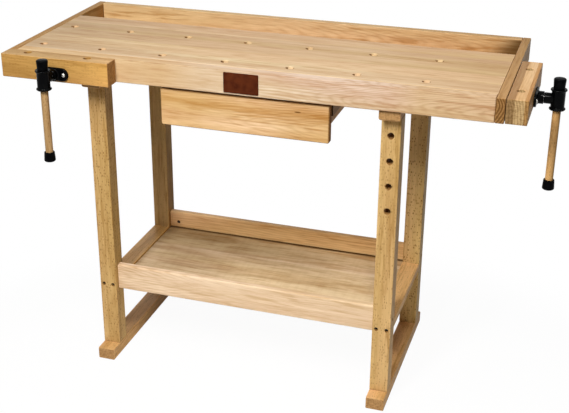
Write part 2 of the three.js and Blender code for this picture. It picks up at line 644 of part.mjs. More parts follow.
// A vise, built about its screw: -Y points out of the bench, and Y = 0 is the bench's face.
function addVise(prefix, vise) {
  const group = new THREE.Group();
  const face = -vise.gap - vise.thickness;
  const jawTop = TOP_HEIGHT - SCREW_HEIGHT;
  const jawBottom = jawTop - vise.height;
  const jawBack = -vise.gap;

  const jawCutters = [barY(SCREW_RADIUS + 0.5, face - 2, jawBack + 2, 0, 0, FINE)];
  for (const x of [-ROD_SPREAD, ROD_SPREAD]) {
    jawCutters.push(barY(ROD_RADIUS + GAP, jawBack - ROD_SOCKET, jawBack + 2, x, 0));
  }
  for (const x of vise.dogs) {
    jawCutters.push(barZ(dogRadius, jawBottom - 2, jawTop + 2, x, jawBack - vise.dogInset, 20));
  }
  const jaw = board([vise.left, face, jawBottom], [vise.right, jawBack, jawTop]);
  addPiece(group, `${prefix}_jaw`, cut(jaw, jawCutters), wood(vise.color));

  for (const [where, x] of [['left', -ROD_SPREAD], ['right', ROD_SPREAD]]) {
    const rod = barY(ROD_RADIUS, jawBack - ROD_SOCKET + GAP, ROD_REACH, x, 0, 24);
    addPiece(group, `${prefix}_guide_rod_${where}`, rod, finish(BRIGHT_ZINC, 0.3, 1));
  }

  // Nut plate behind the board, with a boss for the screw.
  const plateFront = vise.board + GAP;
  const nutPlate = board([-ROD_SPREAD - 20, plateFront, -17], [ROD_SPREAD + 20, plateFront + 8, 13.6], 1);
  const boss = barY(NUT_BOSS_RADIUS, plateFront + 4, plateFront + 36, 0, 0, FINE);
  const plateCutters = [barY(SCREW_RADIUS + 0.5, plateFront - 2, plateFront + 40, 0, 0, FINE)];
  for (const x of [-ROD_SPREAD, ROD_SPREAD]) {
    plateCutters.push(barY(ROD_RADIUS + 0.4, plateFront - 2, plateFront + 12, x, 0));
  }
  addPiece(
    group,
    `${prefix}_nut_plate`,
    cut(join(nutPlate, [boss]), plateCutters),
    finish(BLACK_ENAMEL, 0.4, 0.4),
  );

  // Oblong flange on the jaw, with a round boss that the hub's collar turns against.
  const half = FLANGE_LENGTH / 2 - FLANGE_HEIGHT / 2;
  const oblong = new THREE.Shape();
  oblong.moveTo(-half, -FLANGE_HEIGHT / 2);
  oblong.lineTo(half, -FLANGE_HEIGHT / 2);
  oblong.absarc(half, 0, FLANGE_HEIGHT / 2, -Math.PI / 2, Math.PI / 2, false);
  oblong.lineTo(-half, FLANGE_HEIGHT / 2);
  oblong.absarc(-half, 0, FLANGE_HEIGHT / 2, Math.PI / 2, Math.PI * 1.5, false);
  oblong.closePath();
  const flangeFront = face - GAP - FLANGE_THICKNESS;
  const flangeBody = alongY(oblong, flangeFront, face - GAP, EDGE);
  const flangeBoss = barY(FLANGE_BOSS_RADIUS, face - FLANGE_BOSS_END, face - GAP - 2, 0, 0, FINE);
  const flangeCutters = [barY(SCREW_RADIUS + 0.5, face - FLANGE_BOSS_END - 2, face + 2, 0, 0, FINE)];
  for (const x of [-FLANGE_SCREW_SPREAD, FLANGE_SCREW_SPREAD]) {
    flangeCutters.push(barY(3, flangeFront - 2, face + 2, x, 0, 12));
  }
  addPiece(
    group,
    `${prefix}_flange`,
    cut(join(flangeBody, [flangeBoss]), flangeCutters),
    finish(BLACK_ENAMEL, 0.35, 0.4),
  );

  for (const [where, x] of [['left', -FLANGE_SCREW_SPREAD], ['right', FLANGE_SCREW_SPREAD]]) {
    const screw = fastener(4.8, 2.6, 2.6, FLANGE_THICKNESS);
    screw.rotateX(-Math.PI / 2);
    screw.translate(x, flangeFront - GAP, 0);
    addPiece(group, `${prefix}_flange_screw_${where}`, screw, finish(BRIGHT_ZINC, 0.3, 1));
  }

  // Lead screw and the hub fixed on its outer end.
  const screwFront = face - FLANGE_BOSS_END - 11;
  const leadScrew = barY(SCREW_RADIUS, screwFront, SCREW_REACH, 0, 0, FINE);
  addPiece(group, `${prefix}_lead_screw`, leadScrew, finish(BRIGHT_ZINC, 0.35, 1));

  const hubY = face - HUB_OFFSET;
  const sleeve = turned([
    [0, -HUB_HALF_HEIGHT],
    [HUB_RING_RADIUS - 1.5, -HUB_HALF_HEIGHT],
    [HUB_RING_RADIUS, -HUB_HALF_HEIGHT + 1.5],
    [HUB_RING_RADIUS, -HUB_HALF_HEIGHT + 3.8],
    [HUB_RADIUS, -HUB_HALF_HEIGHT + 6],
    [HUB_RADIUS, HUB_HALF_HEIGHT - 6],
    [HUB_RING_RADIUS, HUB_HALF_HEIGHT - 3.8],
    [HUB_RING_RADIUS, HUB_HALF_HEIGHT - 1.5],
    [HUB_RING_RADIUS - 1.5, HUB_HALF_HEIGHT],
    [0, HUB_HALF_HEIGHT],
  ]);
  sleeve.translate(0, hubY, 0);
  const collar = barY(HUB_COLLAR_RADIUS, hubY, face - FLANGE_BOSS_END - GAP, 0, 0, FINE);
  const hubCutters = [
    barZ(HANDLE_RADIUS + 0.5, -HUB_HALF_HEIGHT - 2, HUB_HALF_HEIGHT + 2, 0, hubY, FINE),
    barY(SCREW_RADIUS + GAP, screwFront - GAP, face - FLANGE_BOSS_END + 2, 0, 0, FINE),
  ];
  addPiece(
    group,
    `${prefix}_hub`,
    cut(join(sleeve, [collar]), hubCutters),
    finish(BLACK_ENAMEL, 0.35, 0.4),
  );

  // Handle bar with a cap on each end. It hangs by its top cap.
  const topSeat = HUB_HALF_HEIGHT + GAP;
  const bar = barZ(HANDLE_RADIUS, -vise.drop - CAP_SOCKET + GAP, topSeat + CAP_SOCKET - GAP, 0, hubY, FINE);
  addPiece(group, `${prefix}_handle_bar`, bar, wood(PALE_BEECH));
  const capProfile = [
    [0, CAP_SOCKET],
    [HANDLE_RADIUS + GAP, CAP_SOCKET],
    [HANDLE_RADIUS + GAP, 0],
    [CAP_MOUTH_RADIUS - 1, 0],
    [CAP_MOUTH_RADIUS, 1],
    [CAP_RADIUS, CAP_LENGTH - 5],
    [CAP_RADIUS - 1.5, CAP_LENGTH - 1.5],
    [CAP_RADIUS - 4.5, CAP_LENGTH],
    [0, CAP_LENGTH],
  ];
  const topCap = turned(capProfile);
  topCap.translate(0, hubY, topSeat);
  addPiece(group, `${prefix}_handle_top_cap`, topCap, finish(BLACK_PLASTIC, 0.45, 0));
  const bottomCap = turned(capProfile);
  bottomCap.rotateX(Math.PI);
  bottomCap.translate(0, hubY, -vise.drop);
  addPiece(group, `${prefix}_handle_bottom_cap`, bottomCap, finish(BLACK_PLASTIC, 0.45, 0));

  bench.add(group);
  return group;
}

const frontVise = addVise('front', {
  left: -FRONT_SCREW_X,
  right: FRONT_JAW_LENGTH - FRONT_SCREW_X,
  thickness: FRONT_JAW_THICKNESS,
  height: FRONT_JAW_HEIGHT,
  gap: FRONT_JAW_GAP,
  board: APRON_THICKNESS,
  dogs: [dogColumns[0] - FRONT_SCREW_X, dogColumns[1] - FRONT_SCREW_X],
  dogInset: FRONT_JAW_DOG_INSET,
  drop: FRONT_HANDLE_DROP,
  color: GOLDEN_BEECH,
});
frontVise.position.set(FRONT_SCREW_X, 0, SCREW_HEIGHT);

const endVise = addVise('end', {
  left: -END_SCREW_Y,
  right: END_JAW_LENGTH - END_SCREW_Y,
  thickness: END_JAW_THICKNESS,
  height: END_JAW_HEIGHT,
  gap: END_JAW_GAP,
  board: END_BOARD_THICKNESS,
  dogs: DOG_ROWS_Y.map((y) => y - END_SCREW_Y),
  dogInset: END_JAW_DOG_INSET,
  drop: END_HANDLE_DROP,
  color: END_GRAIN,
});
endVise.position.set(TOP_LENGTH, END_SCREW_Y, SCREW_HEIGHT);
endVise.rotation.z = Math.PI / 2;

// The origin goes on the floor under the middle of the bench's box.
const boxMaxX = TOP_LENGTH + END_JAW_GAP + END_JAW_THICKNESS + HUB_OFFSET + HUB_RING_RADIUS;
const boxMinY = -FRONT_JAW_GAP - FRONT_JAW_THICKNESS - HUB_OFFSET - HUB_RING_RADIUS;
bench.position.set(-boxMaxX / 2, -(boxMinY + TOP_DEPTH) / 2, 0);

const woodworkingBench = new THREE.Group();
woodworkingBench.name = 'woodworking_bench';
woodworkingBench.add(bench);

export default woodworkingBench;
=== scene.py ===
# %% [markdown]
# # A beech workbench with two vises
# The bench comes from the CAD model as separate solids in metres: boards, legs, vises and a drawer.
# This lesson gives every solid its finish, and rebuilds the round, threaded and drilled pieces with
# smoother shapes. We start by loading the model.

# %% Load the bench
import math
import bmesh
import bpy
from mathutils import Euler, Matrix, Vector


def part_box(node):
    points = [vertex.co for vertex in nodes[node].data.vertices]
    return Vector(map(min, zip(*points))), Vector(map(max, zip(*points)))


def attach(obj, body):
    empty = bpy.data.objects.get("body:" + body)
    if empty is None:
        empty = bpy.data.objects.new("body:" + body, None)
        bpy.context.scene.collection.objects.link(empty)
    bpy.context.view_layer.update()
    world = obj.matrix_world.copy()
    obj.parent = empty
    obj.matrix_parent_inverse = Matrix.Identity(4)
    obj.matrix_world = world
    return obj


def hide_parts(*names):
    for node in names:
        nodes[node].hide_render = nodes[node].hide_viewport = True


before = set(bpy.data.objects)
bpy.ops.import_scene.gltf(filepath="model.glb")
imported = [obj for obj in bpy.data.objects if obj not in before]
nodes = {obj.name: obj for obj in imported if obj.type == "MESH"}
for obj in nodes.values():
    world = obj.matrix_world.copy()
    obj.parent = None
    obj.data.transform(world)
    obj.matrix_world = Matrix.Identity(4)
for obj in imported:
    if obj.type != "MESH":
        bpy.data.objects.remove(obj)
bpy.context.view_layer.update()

scene = bpy.context.scene

# %% [markdown]
# ## Camera
# The bench was seen from its right front, a little above the worktop. A camera can be aimed by hand
# or with a Track To constraint, but this one has a known place, heading, tilt and roll, so we write
# its axes straight into its matrix: a camera looks along its own -Z with +Y up.

# %% Place the camera
PHOTO_SIZE = (569, 413)
FOCAL_PIXELS = 1103.58
SENSOR_WIDTH = 36.0
PICTURE_SHIFT = (0.04295, -0.01540)
CAMERA_PLACE = Vector((0.77520, -2.51339, 1.64117))
HEADING, TILT, ROLL = (math.radians(a) for a in (18.766, 24.100, -0.084))

forward = Vector((-math.sin(HEADING) * math.cos(TILT), math.cos(HEADING) * math.cos(TILT), -math.sin(TILT)))
level_right = Vector((math.cos(HEADING), math.sin(HEADING), 0))
level_up = level_right.cross(forward)
right = math.cos(ROLL) * level_right + math.sin(ROLL) * level_up
up = right.cross(forward)

lens = bpy.data.cameras.new("bench_camera")
lens.sensor_fit = "HORIZONTAL"
lens.sensor_width = SENSOR_WIDTH
lens.lens = FOCAL_PIXELS * SENSOR_WIDTH / PHOTO_SIZE[0]
lens.shift_x, lens.shift_y = PICTURE_SHIFT
lens.dof.use_dof = False
camera = bpy.data.objects.new("bench_camera", lens)
scene.collection.objects.link(camera)
axes = Matrix((right, up, -forward)).transposed()
camera.matrix_world = Matrix.Translation(CAMERA_PLACE) @ axes.to_4x4()
scene.camera = camera
print("camera lens:", round(lens.lens, 2), "mm")

# %% [markdown]
# ## Small helpers for node trees
# Every finish below is a tree of nodes. Writing nodes.new and links.new again and again hides what
# a finish is made of, so short helpers do it: one feeds a socket with a number or another socket,
# and others do arithmetic, mix colours, make a soft threshold or a ramp, and place a group.

# %% Node helpers
def feed(tree, socket, value):
    if isinstance(value, bpy.types.NodeSocket):
        tree.links.new(value, socket)
    else:
        socket.default_value = value

def calc(tree, operation, *values):
    node = tree.nodes.new("ShaderNodeMath")
    node.operation = operation
    for socket, value in zip(node.inputs, values):
        feed(tree, socket, value)
    return node.outputs[0]

def vector_calc(tree, operation, first, second):
    node = tree.nodes.new("ShaderNodeVectorMath")
    node.operation = operation
    feed(tree, node.inputs[0], first)
    feed(tree, node.inputs[1], second)
    return node.outputs["Vector"]

def mix_colour(tree, amount, first, second, way="MIX"):
    node = tree.nodes.new("ShaderNodeMix")
    node.data_type = "RGBA"
    node.blend_type = way
    feed(tree, node.inputs[0], amount)
    feed(tree, node.inputs[6], first)
    feed(tree, node.inputs[7], second)
    return node.outputs[2]

def ease(tree, value, low, high, to_low=0.0, to_high=1.0):
    node = tree.nodes.new("ShaderNodeMapRange")
    node.interpolation_type = "SMOOTHSTEP"
    for socket, entry in zip(node.inputs, (value, low, high, to_low, to_high)):
        feed(tree, socket, entry)
    return node.outputs[0]

def noise(tree, vector, stretch, detail=2.0, twist=0.0):
    node = tree.nodes.new("ShaderNodeTexNoise")
    node.inputs["Scale"].default_value = 1.0
    node.inputs["Detail"].default_value = detail
    node.inputs["Distortion"].default_value = twist
    feed(tree, node.inputs["Vector"], vector_calc(tree, "MULTIPLY", vector, stretch))
    return node.outputs[0]

def split(tree, vector):
    node = tree.nodes.new("ShaderNodeSeparateXYZ")
    feed(tree, node.inputs[0], vector)
    return node.outputs

def combine(tree, x, y, z):
    node = tree.nodes.new("ShaderNodeCombineXYZ")
    for socket, value in zip(node.inputs, (x, y, z)):
        feed(tree, socket, value)
    return node.outputs[0]

def ramp(tree, value, steps, way="LINEAR"):
    node = tree.nodes.new("ShaderNodeValToRGB")
    node.color_ramp.interpolation = way
    marks = node.color_ramp.elements
    marks[0].position, marks[1].position = steps[0][0], steps[-1][0]
    for position, colour in steps[1:-1]:
        marks.new(position)
    for mark, (position, colour) in zip(marks, steps):
        mark.color = (*colour, 1)
    feed(tree, node.inputs[0], value)
    return node.outputs["Color"]

def new_group(name, inputs, outputs):
    tree = bpy.data.node_groups.new(name, "ShaderNodeTree")
    for label, kind, value in inputs:
        socket = tree.interface.new_socket(label, in_out="INPUT", socket_type="NodeSocket" + kind)
        socket.default_value = value
    for label, kind in outputs:
        tree.interface.new_socket(label, in_out="OUTPUT", socket_type="NodeSocket" + kind)
    entry = tree.nodes.new("NodeGroupInput").outputs
    exit_ = tree.nodes.new("NodeGroupOutput").inputs
    return tree, entry, exit_

def place_group(tree, group, **values):
    node = tree.nodes.new("ShaderNodeGroup")
    node.node_tree = group
    for label, value in values.items():
        feed(tree, node.inputs[label.replace("_", " ")], value)
    return node.outputs

def srgb(red, green, blue):
    def linear(level):
        level /= 255
        return level / 12.92 if level <= 0.04045 else ((level + 0.055) / 1.055) ** 2.4
    return (linear(red), linear(green), linear(blue), 1.0)

print("node helpers ready")

# %% [markdown]
# ## Floor, backdrop and light
# Product pictures of furniture stand on white. The floor is a real plane that catches the shadow,
# and only where the camera looks straight at it a white glow is mixed in, so that it meets the white
# backdrop without a horizon. A white sheet lies in front of the bench and under it and ends a little
# way off, so the light that the floor throws back is strongest low on the front legs. A tall soft lamp
# stands in front of the left legs, a second one hangs high in front and lights the top and the shelf,
# and two weak ones at the sides soften the shadows. A low one behind and to the left lights the back,
# and since it stands below the worktop it leaves the front as it is. The room gives back little.

# %% Make the floor and the backdrop
FLOOR_HALF = 9.0
SHEET_COLOUR = (0.95, 0.95, 0.94, 1)
ROOM_COLOUR = (0.14, 0.14, 0.14, 1)
SHEET_MIDDLE = (0.1, -0.5, 0.0)
SHEET_EDGE = (0.85, 1.3)
FLOOR_GLOW = 0.955

def seen_rays(tree):
    """One where a ray comes from the camera, a reflection or a transmission, and zero elsewhere."""
    path = tree.nodes.new("ShaderNodeLightPath").outputs
    mirrored = calc(tree, "MAXIMUM", path["Is Glossy Ray"], path["Is Transmission Ray"])
    return calc(tree, "MAXIMUM", path["Is Camera Ray"], mirrored)

def floor_finish():
    material = bpy.data.materials.new("pale_floor")
    material.use_nodes = True
    tree = material.node_tree
    tree.nodes.clear()
    place = tree.nodes.new("ShaderNodeTexCoord").outputs["Object"]
    x, y, z = split(tree, vector_calc(tree, "SUBTRACT", place, SHEET_MIDDLE))
    away = calc(tree, "SQRT", calc(tree, "ADD", calc(tree, "POWER", x, 2.0), calc(tree, "POWER", y, 2.0)))
    paint = tree.nodes.new("ShaderNodeBsdfDiffuse")
    feed(tree, paint.inputs["Color"], mix_colour(tree, ease(tree, away, *SHEET_EDGE), SHEET_COLOUR, ROOM_COLOUR))
    glow = tree.nodes.new("ShaderNodeEmission")
    glow.inputs["Strength"].default_value = 1.0
    mix = tree.nodes.new("ShaderNodeMixShader")
    share = ease(tree, away, *SHEET_EDGE, FLOOR_GLOW, 1.0)
    feed(tree, mix.inputs[0], calc(tree, "MULTIPLY", seen_rays(tree), share))
    tree.links.new(paint.outputs[0], mix.inputs[1])
    tree.links.new(glow.outputs[0], mix.inputs[2])
    tree.links.new(mix.outputs[0], tree.nodes.new("ShaderNodeOutputMaterial").inputs["Surface"])
    return material

floor_mesh = bpy.data.meshes.new("floor")
corners = [(-1, -1), (1, -1), (1, 1), (-1, 1)]
floor_mesh.from_pydata([(x * FLOOR_HALF, y * FLOOR_HALF, 0) for x, y in corners], [], [(0, 1, 2, 3)])
floor_mesh.materials.append(floor_finish())
floor = bpy.data.objects.new("floor", floor_mesh)
scene.collection.objects.link(floor)

WORLD_LIGHT = 0.005
world = bpy.data.worlds.new("white_studio")
scene.world = world
world.use_nodes = True
sky = world.node_tree
sky.nodes.clear()
sky_output = sky.nodes.new("ShaderNodeOutputWorld")
backdrop = sky.nodes.new("ShaderNodeBackground")
backdrop.inputs["Strength"].default_value = 1.0
room = sky.nodes.new("ShaderNodeBackground")
room.inputs["Color"].default_value = (1.0, 0.985, 0.96, 1)
room.inputs["Strength"].default_value = WORLD_LIGHT
backdrop.inputs["Color"].default_value = (1, 1, 1, 1)
choose = sky.nodes.new("ShaderNodeMixShader")
sky.links.new(seen_rays(sky), choose.inputs[0])
sky.links.new(room.outputs[0], choose.inputs[1])
sky.links.new(backdrop.outputs[0], choose.inputs[2])
sky.links.new(choose.outputs[0], sky_output.inputs["Surface"])
scene.view_settings.view_transform = "Standard"
print("floor and backdrop are white")

# %% Hang the lamps
def soft_lamp(name, place, target, width, height, power, colour=(1.0, 0.985, 0.96)):
    data = bpy.data.lights.new(name, "AREA")
    data.shape = "RECTANGLE"
    data.size = width
    data.size_y = height
    data.energy = power
    data.color = colour
    lamp = bpy.data.objects.new(name, data)
    scene.collection.objects.link(lamp)
    lamp.location = place
    lamp.rotation_euler = (Vector(target) - Vector(place)).to_track_quat("-Z", "Y").to_euler()
    return lamp

AIM = (-0.1, 0, 0.5)
soft_lamp("front_lamp", (-0.46, -2.46, 2.82), AIM, 0.5, 0.9, 92)
soft_lamp("high_lamp", (0.57, -1.83, 3.29), AIM, 0.6, 0.8, 45)
soft_lamp("left_lamp", (-1.35, -1.49, 3.29), AIM, 0.6, 0.8, 8)
soft_lamp("right_lamp", (1.67, -0.82, 3.29), AIM, 0.9, 0.9, 12)
soft_lamp("back_lamp", (-1.5, 2.9, 0.72), (0, 0.3, 0.6), 1.6, 0.6, 26)
print("lamps hung")

# %% [markdown]
# ## Beech
# Steamed beech is pale and even: growth rings that show as soft flowing lines, fine fibres along the
# board, and short dark flecks. Across a cut end the rings turn to arcs and the colour deepens. All of
# that can come from one solid pattern: rings around a line that runs along the grain, noise stretched
# along it, and a mask for the faces that look along the grain. Wide boards are glued from staves, so
# each stave gets its own tone and its own rings. It is one node group, and each board places it with
# its own colours, grain direction and seed.

# %% The beech group
RING_SPACING = 0.0062

def make_beech():
    tree, given, out = new_group(
        "beech",
        [
            ("Place", "Vector", (0, 0, 0)),
            ("Facing", "Vector", (0, 0, 1)),
            ("Pale", "Color", (0.7, 0.5, 0.3, 1)),
            ("Deep", "Color", (0.5, 0.3, 0.2, 1)),
            ("End", "Color", (0.3, 0.2, 0.1, 1)),
            ("Stave", "Float", 10.0),
            ("Tone", "Float", 0.1),
            ("Rings", "Float", 0.5),
            ("Flecks", "Float", 0.3),
            ("Seed", "Float", 0.0),
        ],
        [("Color", "Color"), ("Roughness", "Float"), ("Height", "Float")],
    )
    place = given["Place"]
    seed = given["Seed"]
    along, across, through = split(tree, place)

    # Staves: a number for each strip across the board.
    strip = calc(tree, "FLOOR", calc(tree, "ADD", calc(tree, "DIVIDE", across, given["Stave"]), 0.5))
    dice = tree.nodes.new("ShaderNodeTexWhiteNoise")
    dice.noise_dimensions = "2D"
    feed(tree, dice.inputs["Vector"], combine(tree, strip, seed, 0.0))
    tone = calc(tree, "SUBTRACT", dice.outputs["Value"], 0.5)
    chance_x, chance_y, chance_z = split(tree, dice.outputs["Color"])

    # Rings: distance from a wandering line along the grain, outside the board.
    shift = combine(
        tree,
        calc(tree, "MULTIPLY", seed, 7.31),
        calc(tree, "MULTIPLY_ADD", chance_y, 3.0, seed),
        calc(tree, "MULTIPLY_ADD", chance_z, 3.0, seed),
    )
    moved = vector_calc(tree, "ADD", place, shift)
    wander = noise(tree, moved, (1.7, 9.0, 9.0), 2.0)
    side = calc(tree, "ADD", across, calc(tree, "MULTIPLY_ADD", chance_x, 0.10, -0.05))
    depth = calc(tree, "ADD", through, calc(tree, "MULTIPLY_ADD", chance_y, 0.07, 0.05))
    reach = calc(tree, "SQRT", calc(tree, "ADD", calc(tree, "POWER", side, 2.0), calc(tree, "POWER", depth, 2.0)))
    turn = calc(tree, "DIVIDE", calc(tree, "MULTIPLY_ADD", wander, 0.05, reach), RING_SPACING)
    wave = calc(tree, "MULTIPLY_ADD", calc(tree, "SINE", calc(tree, "MULTIPLY", turn, 2 * math.pi)), 0.5, 0.5)
    ring = calc(tree, "POWER", wave, 1.6)

    # Broad bands, streaks and fibres along the grain, and rings that show only in patches.
    band = noise(tree, moved, (1.3, 19.0, 19.0), 3.0, 0.9)
    streak = noise(tree, moved, (11.0, 140.0, 140.0), 3.0, 0.5)
    fibre = noise(tree, moved, (26.0, 360.0, 360.0), 2.0)
    patch = ease(tree, noise(tree, moved, (2.2, 6.0, 6.0), 1.0), 0.44, 0.66)
    calm = ease(tree, noise(tree, moved, (1.9, 11.0, 11.0), 1.0), 0.38, 0.64, 0.4, 1.0)
    lines = calc(tree, "MULTIPLY", calc(tree, "MULTIPLY", ring, given["Rings"]), patch)
    dashes = calc(tree, "MULTIPLY", ease(tree, streak, 0.46, 0.74), calm)
    figure = calc(tree, "MULTIPLY_ADD", ease(tree, band, 0.28, 0.72), 0.72, lines)
    figure = calc(tree, "MULTIPLY_ADD", dashes, 0.85, figure)
    figure = calc(tree, "MULTIPLY_ADD", calc(tree, "SUBTRACT", fibre, 0.5), 0.8, figure)
    node = tree.nodes.new("ShaderNodeClamp")
    feed(tree, node.inputs["Value"], figure)
    face = mix_colour(tree, node.outputs[0], given["Pale"], given["Deep"])

    # Some bands are rosy and others straw yellow.
    rosy = mix_colour(tree, 1.0, face, (1.02, 0.985, 1.02, 1), "MULTIPLY")
    straw = mix_colour(tree, 1.0, face, (1.0, 0.995, 0.93, 1), "MULTIPLY")
    face = mix_colour(tree, ease(tree, noise(tree, moved, (1.1, 13.0, 13.0), 1.0), 0.38, 0.62), rosy, straw)

    # Flecks: short dashes in some of the cells of a pattern that is stretched along the grain.
    cells = tree.nodes.new("ShaderNodeTexVoronoi")
    cells.inputs["Scale"].default_value = 1.0
    feed(tree, cells.inputs["Vector"], vector_calc(tree, "MULTIPLY", moved, (125.0, 290.0, 290.0)))
    chosen = ease(tree, split(tree, cells.outputs["Color"])[0], 0.3, 0.9)
    fleck = calc(tree, "MULTIPLY", ease(tree, cells.outputs["Distance"], 0.5, 0.2), chosen)
    dark_fleck = mix_colour(tree, 1.0, given["Deep"], (0.58, 0.50, 0.42, 1), "MULTIPLY")
    face = mix_colour(tree, calc(tree, "MULTIPLY", fleck, given["Flecks"]), face, dark_fleck)

    # The cut ends.
    pore = ease(tree, noise(tree, moved, (90.0, 260.0, 120.0), 3.0, 0.7), 0.38, 0.62)
    end_dark = mix_colour(tree, 1.0, given["End"], (0.42, 0.35, 0.28, 1), "MULTIPLY")
    end_rings = calc(tree, "MULTIPLY", ring, calc(tree, "MULTIPLY", given["Rings"], 1.5))
    end_figure = calc(tree, "MULTIPLY_ADD", pore, 0.45, end_rings)
    end = mix_colour(tree, end_figure, given["End"], end_dark)
    facing_along = calc(tree, "ABSOLUTE", split(tree, given["Facing"])[0])
    is_end = ease(tree, facing_along, 0.55, 0.8)
    colour = mix_colour(tree, is_end, face, end)

    # Each stave is a little lighter or darker.
    strength = calc(tree, "MULTIPLY_ADD", tone, given["Tone"], 1.0)
    colour = mix_colour(tree, 1.0, colour, combine(tree, strength, strength, strength), "MULTIPLY")
    tree.links.new(colour, out["Color"])
    rough = calc(tree, "MULTIPLY_ADD", fibre, 0.14, 0.43)
    rough = calc(tree, "MULTIPLY_ADD", is_end, 0.16, rough)
    tree.links.new(rough, out["Roughness"])
    height = calc(tree, "MULTIPLY_ADD", fibre, 0.6, calc(tree, "MULTIPLY", streak, 0.25))
    height = calc(tree, "SUBTRACT", height, calc(tree, "MULTIPLY", fleck, 0.35))
    tree.links.new(height, out["Height"])
    return tree

beech = make_beech()
print("beech group:", len(beech.nodes), "nodes")

# %% [markdown]
# ## Worn arrises
# The long edges of a board, its arrises, are the first thing that hands and work rub: they polish paler
# and pick up small dark nicks. Their paler tint is also a painted highlight, the light that a rounded
# edge catches. A mask for them could come from a bevel shader, but a board is a box, so it is enough
# to know its middle and half its size. A point is on an arris where two of its three distances to the
# faces are small at once, which is the middle one of the three.

# %% The arris group
def make_arris():
    tree, given, out = new_group(
        "arris",
        [("Place", "Vector", (0, 0, 0)), ("Half", "Vector", (1, 1, 1)), ("Width", "Float", 0.003)],
        [("Mask", "Float"), ("Nicks", "Float")],
    )
    spread = tree.nodes.new("ShaderNodeVectorMath")
    spread.operation = "ABSOLUTE"
    feed(tree, spread.inputs[0], given["Place"])
    left = vector_calc(tree, "SUBTRACT", given["Half"], spread.outputs["Vector"])
    a, b, c = split(tree, left)
    low = calc(tree, "MINIMUM", a, b)
    high = calc(tree, "MAXIMUM", a, b)
    middle = calc(tree, "MAXIMUM", low, calc(tree, "MINIMUM", high, c))
    near = ease(tree, middle, given["Width"], 0.0)
    arris_tint = noise(tree, given["Place"], (26.0, 26.0, 26.0), 3.0)
    tree.links.new(calc(tree, "MULTIPLY", near, ease(tree, arris_tint, 0.35, 0.65, 0.25, 1.0)), out["Mask"])
    nick = noise(tree, given["Place"], (120.0, 120.0, 120.0), 2.0)
    tree.links.new(calc(tree, "MULTIPLY", near, ease(tree, nick, 0.66, 0.74)), out["Nicks"])
    return tree

arris = make_arris()
print("arris group:", len(arris.nodes), "nodes")

# %% [markdown]
# ## Flame figure
# Where a saw cuts the cone of the growth rings at a slant, a board shows nested arcs, the flame. It
# could be drawn with a distorted wave texture, but it is truer to repeat the cut: the distance from
# the heart of the tree, plus a slope along the board, gives cones, and the face of the board slices
# them into arcs by itself. A board chooses where its heart lies and how far the figure reaches.

# %% The flame group
def make_flame():
    tree, given, out = new_group(
        "flame",
        [
            ("Place", "Vector", (0, 0, 0)),
            ("Heart", "Vector", (0, 0, 0)),
            ("Slope", "Float", 0.1),
            ("Spacing", "Float", 0.005),
            ("Length", "Float", 0.3),
        ],
        [("Mask", "Float")],
    )
    away = vector_calc(tree, "SUBTRACT", given["Place"], given["Heart"])
    along, across, through = split(tree, away)
    squares = calc(tree, "ADD", calc(tree, "POWER", across, 2.0), calc(tree, "POWER", through, 2.0))
    sway = calc(tree, "MULTIPLY", noise(tree, given["Place"], (11.0, 55.0, 55.0), 2.0), 0.008)
    cone = calc(tree, "ADD", calc(tree, "MULTIPLY_ADD", along, given["Slope"], calc(tree, "SQRT", squares)), sway)
    turn = calc(tree, "MULTIPLY", calc(tree, "DIVIDE", cone, given["Spacing"]), 2 * math.pi)
    line = calc(tree, "POWER", calc(tree, "MULTIPLY_ADD", calc(tree, "SINE", turn), 0.5, 0.5), 2.0)
    near = ease(tree, calc(tree, "ABSOLUTE", along), given["Length"], calc(tree, "MULTIPLY", given["Length"], 0.4))
    patchy = ease(tree, noise(tree, given["Place"], (6.0, 30.0, 30.0), 1.0), 0.30, 0.62, 0.25, 1.0)
    tree.links.new(calc(tree, "MULTIPLY", calc(tree, "MULTIPLY", line, near), patchy), out["Mask"])
    return tree

flame_figure = make_flame()
print("flame group:", len(flame_figure.nodes), "nodes")

# %% [markdown]
# ## A finish for each board
# No two boards of a bench match. A single wood material would give them all the same streaks at the
# same places, so each board gets its own material from the same groups: the grain along its length,
# its own seed, and one of a few tones that were picked from the real bench. The grain frame is made
# by swapping the axes of the Object coordinates, so that its first axis always runs along the fibres.

# %% Wood finish
GRAIN_ORDER = {"x": (0, 1, 2), "y": (1, 2, 0), "z": (2, 0, 1)}

def turn_to_grain(tree, vector, grain):
    parts = split(tree, vector)
    return combine(tree, *(parts[i] for i in GRAIN_ORDER[grain]))

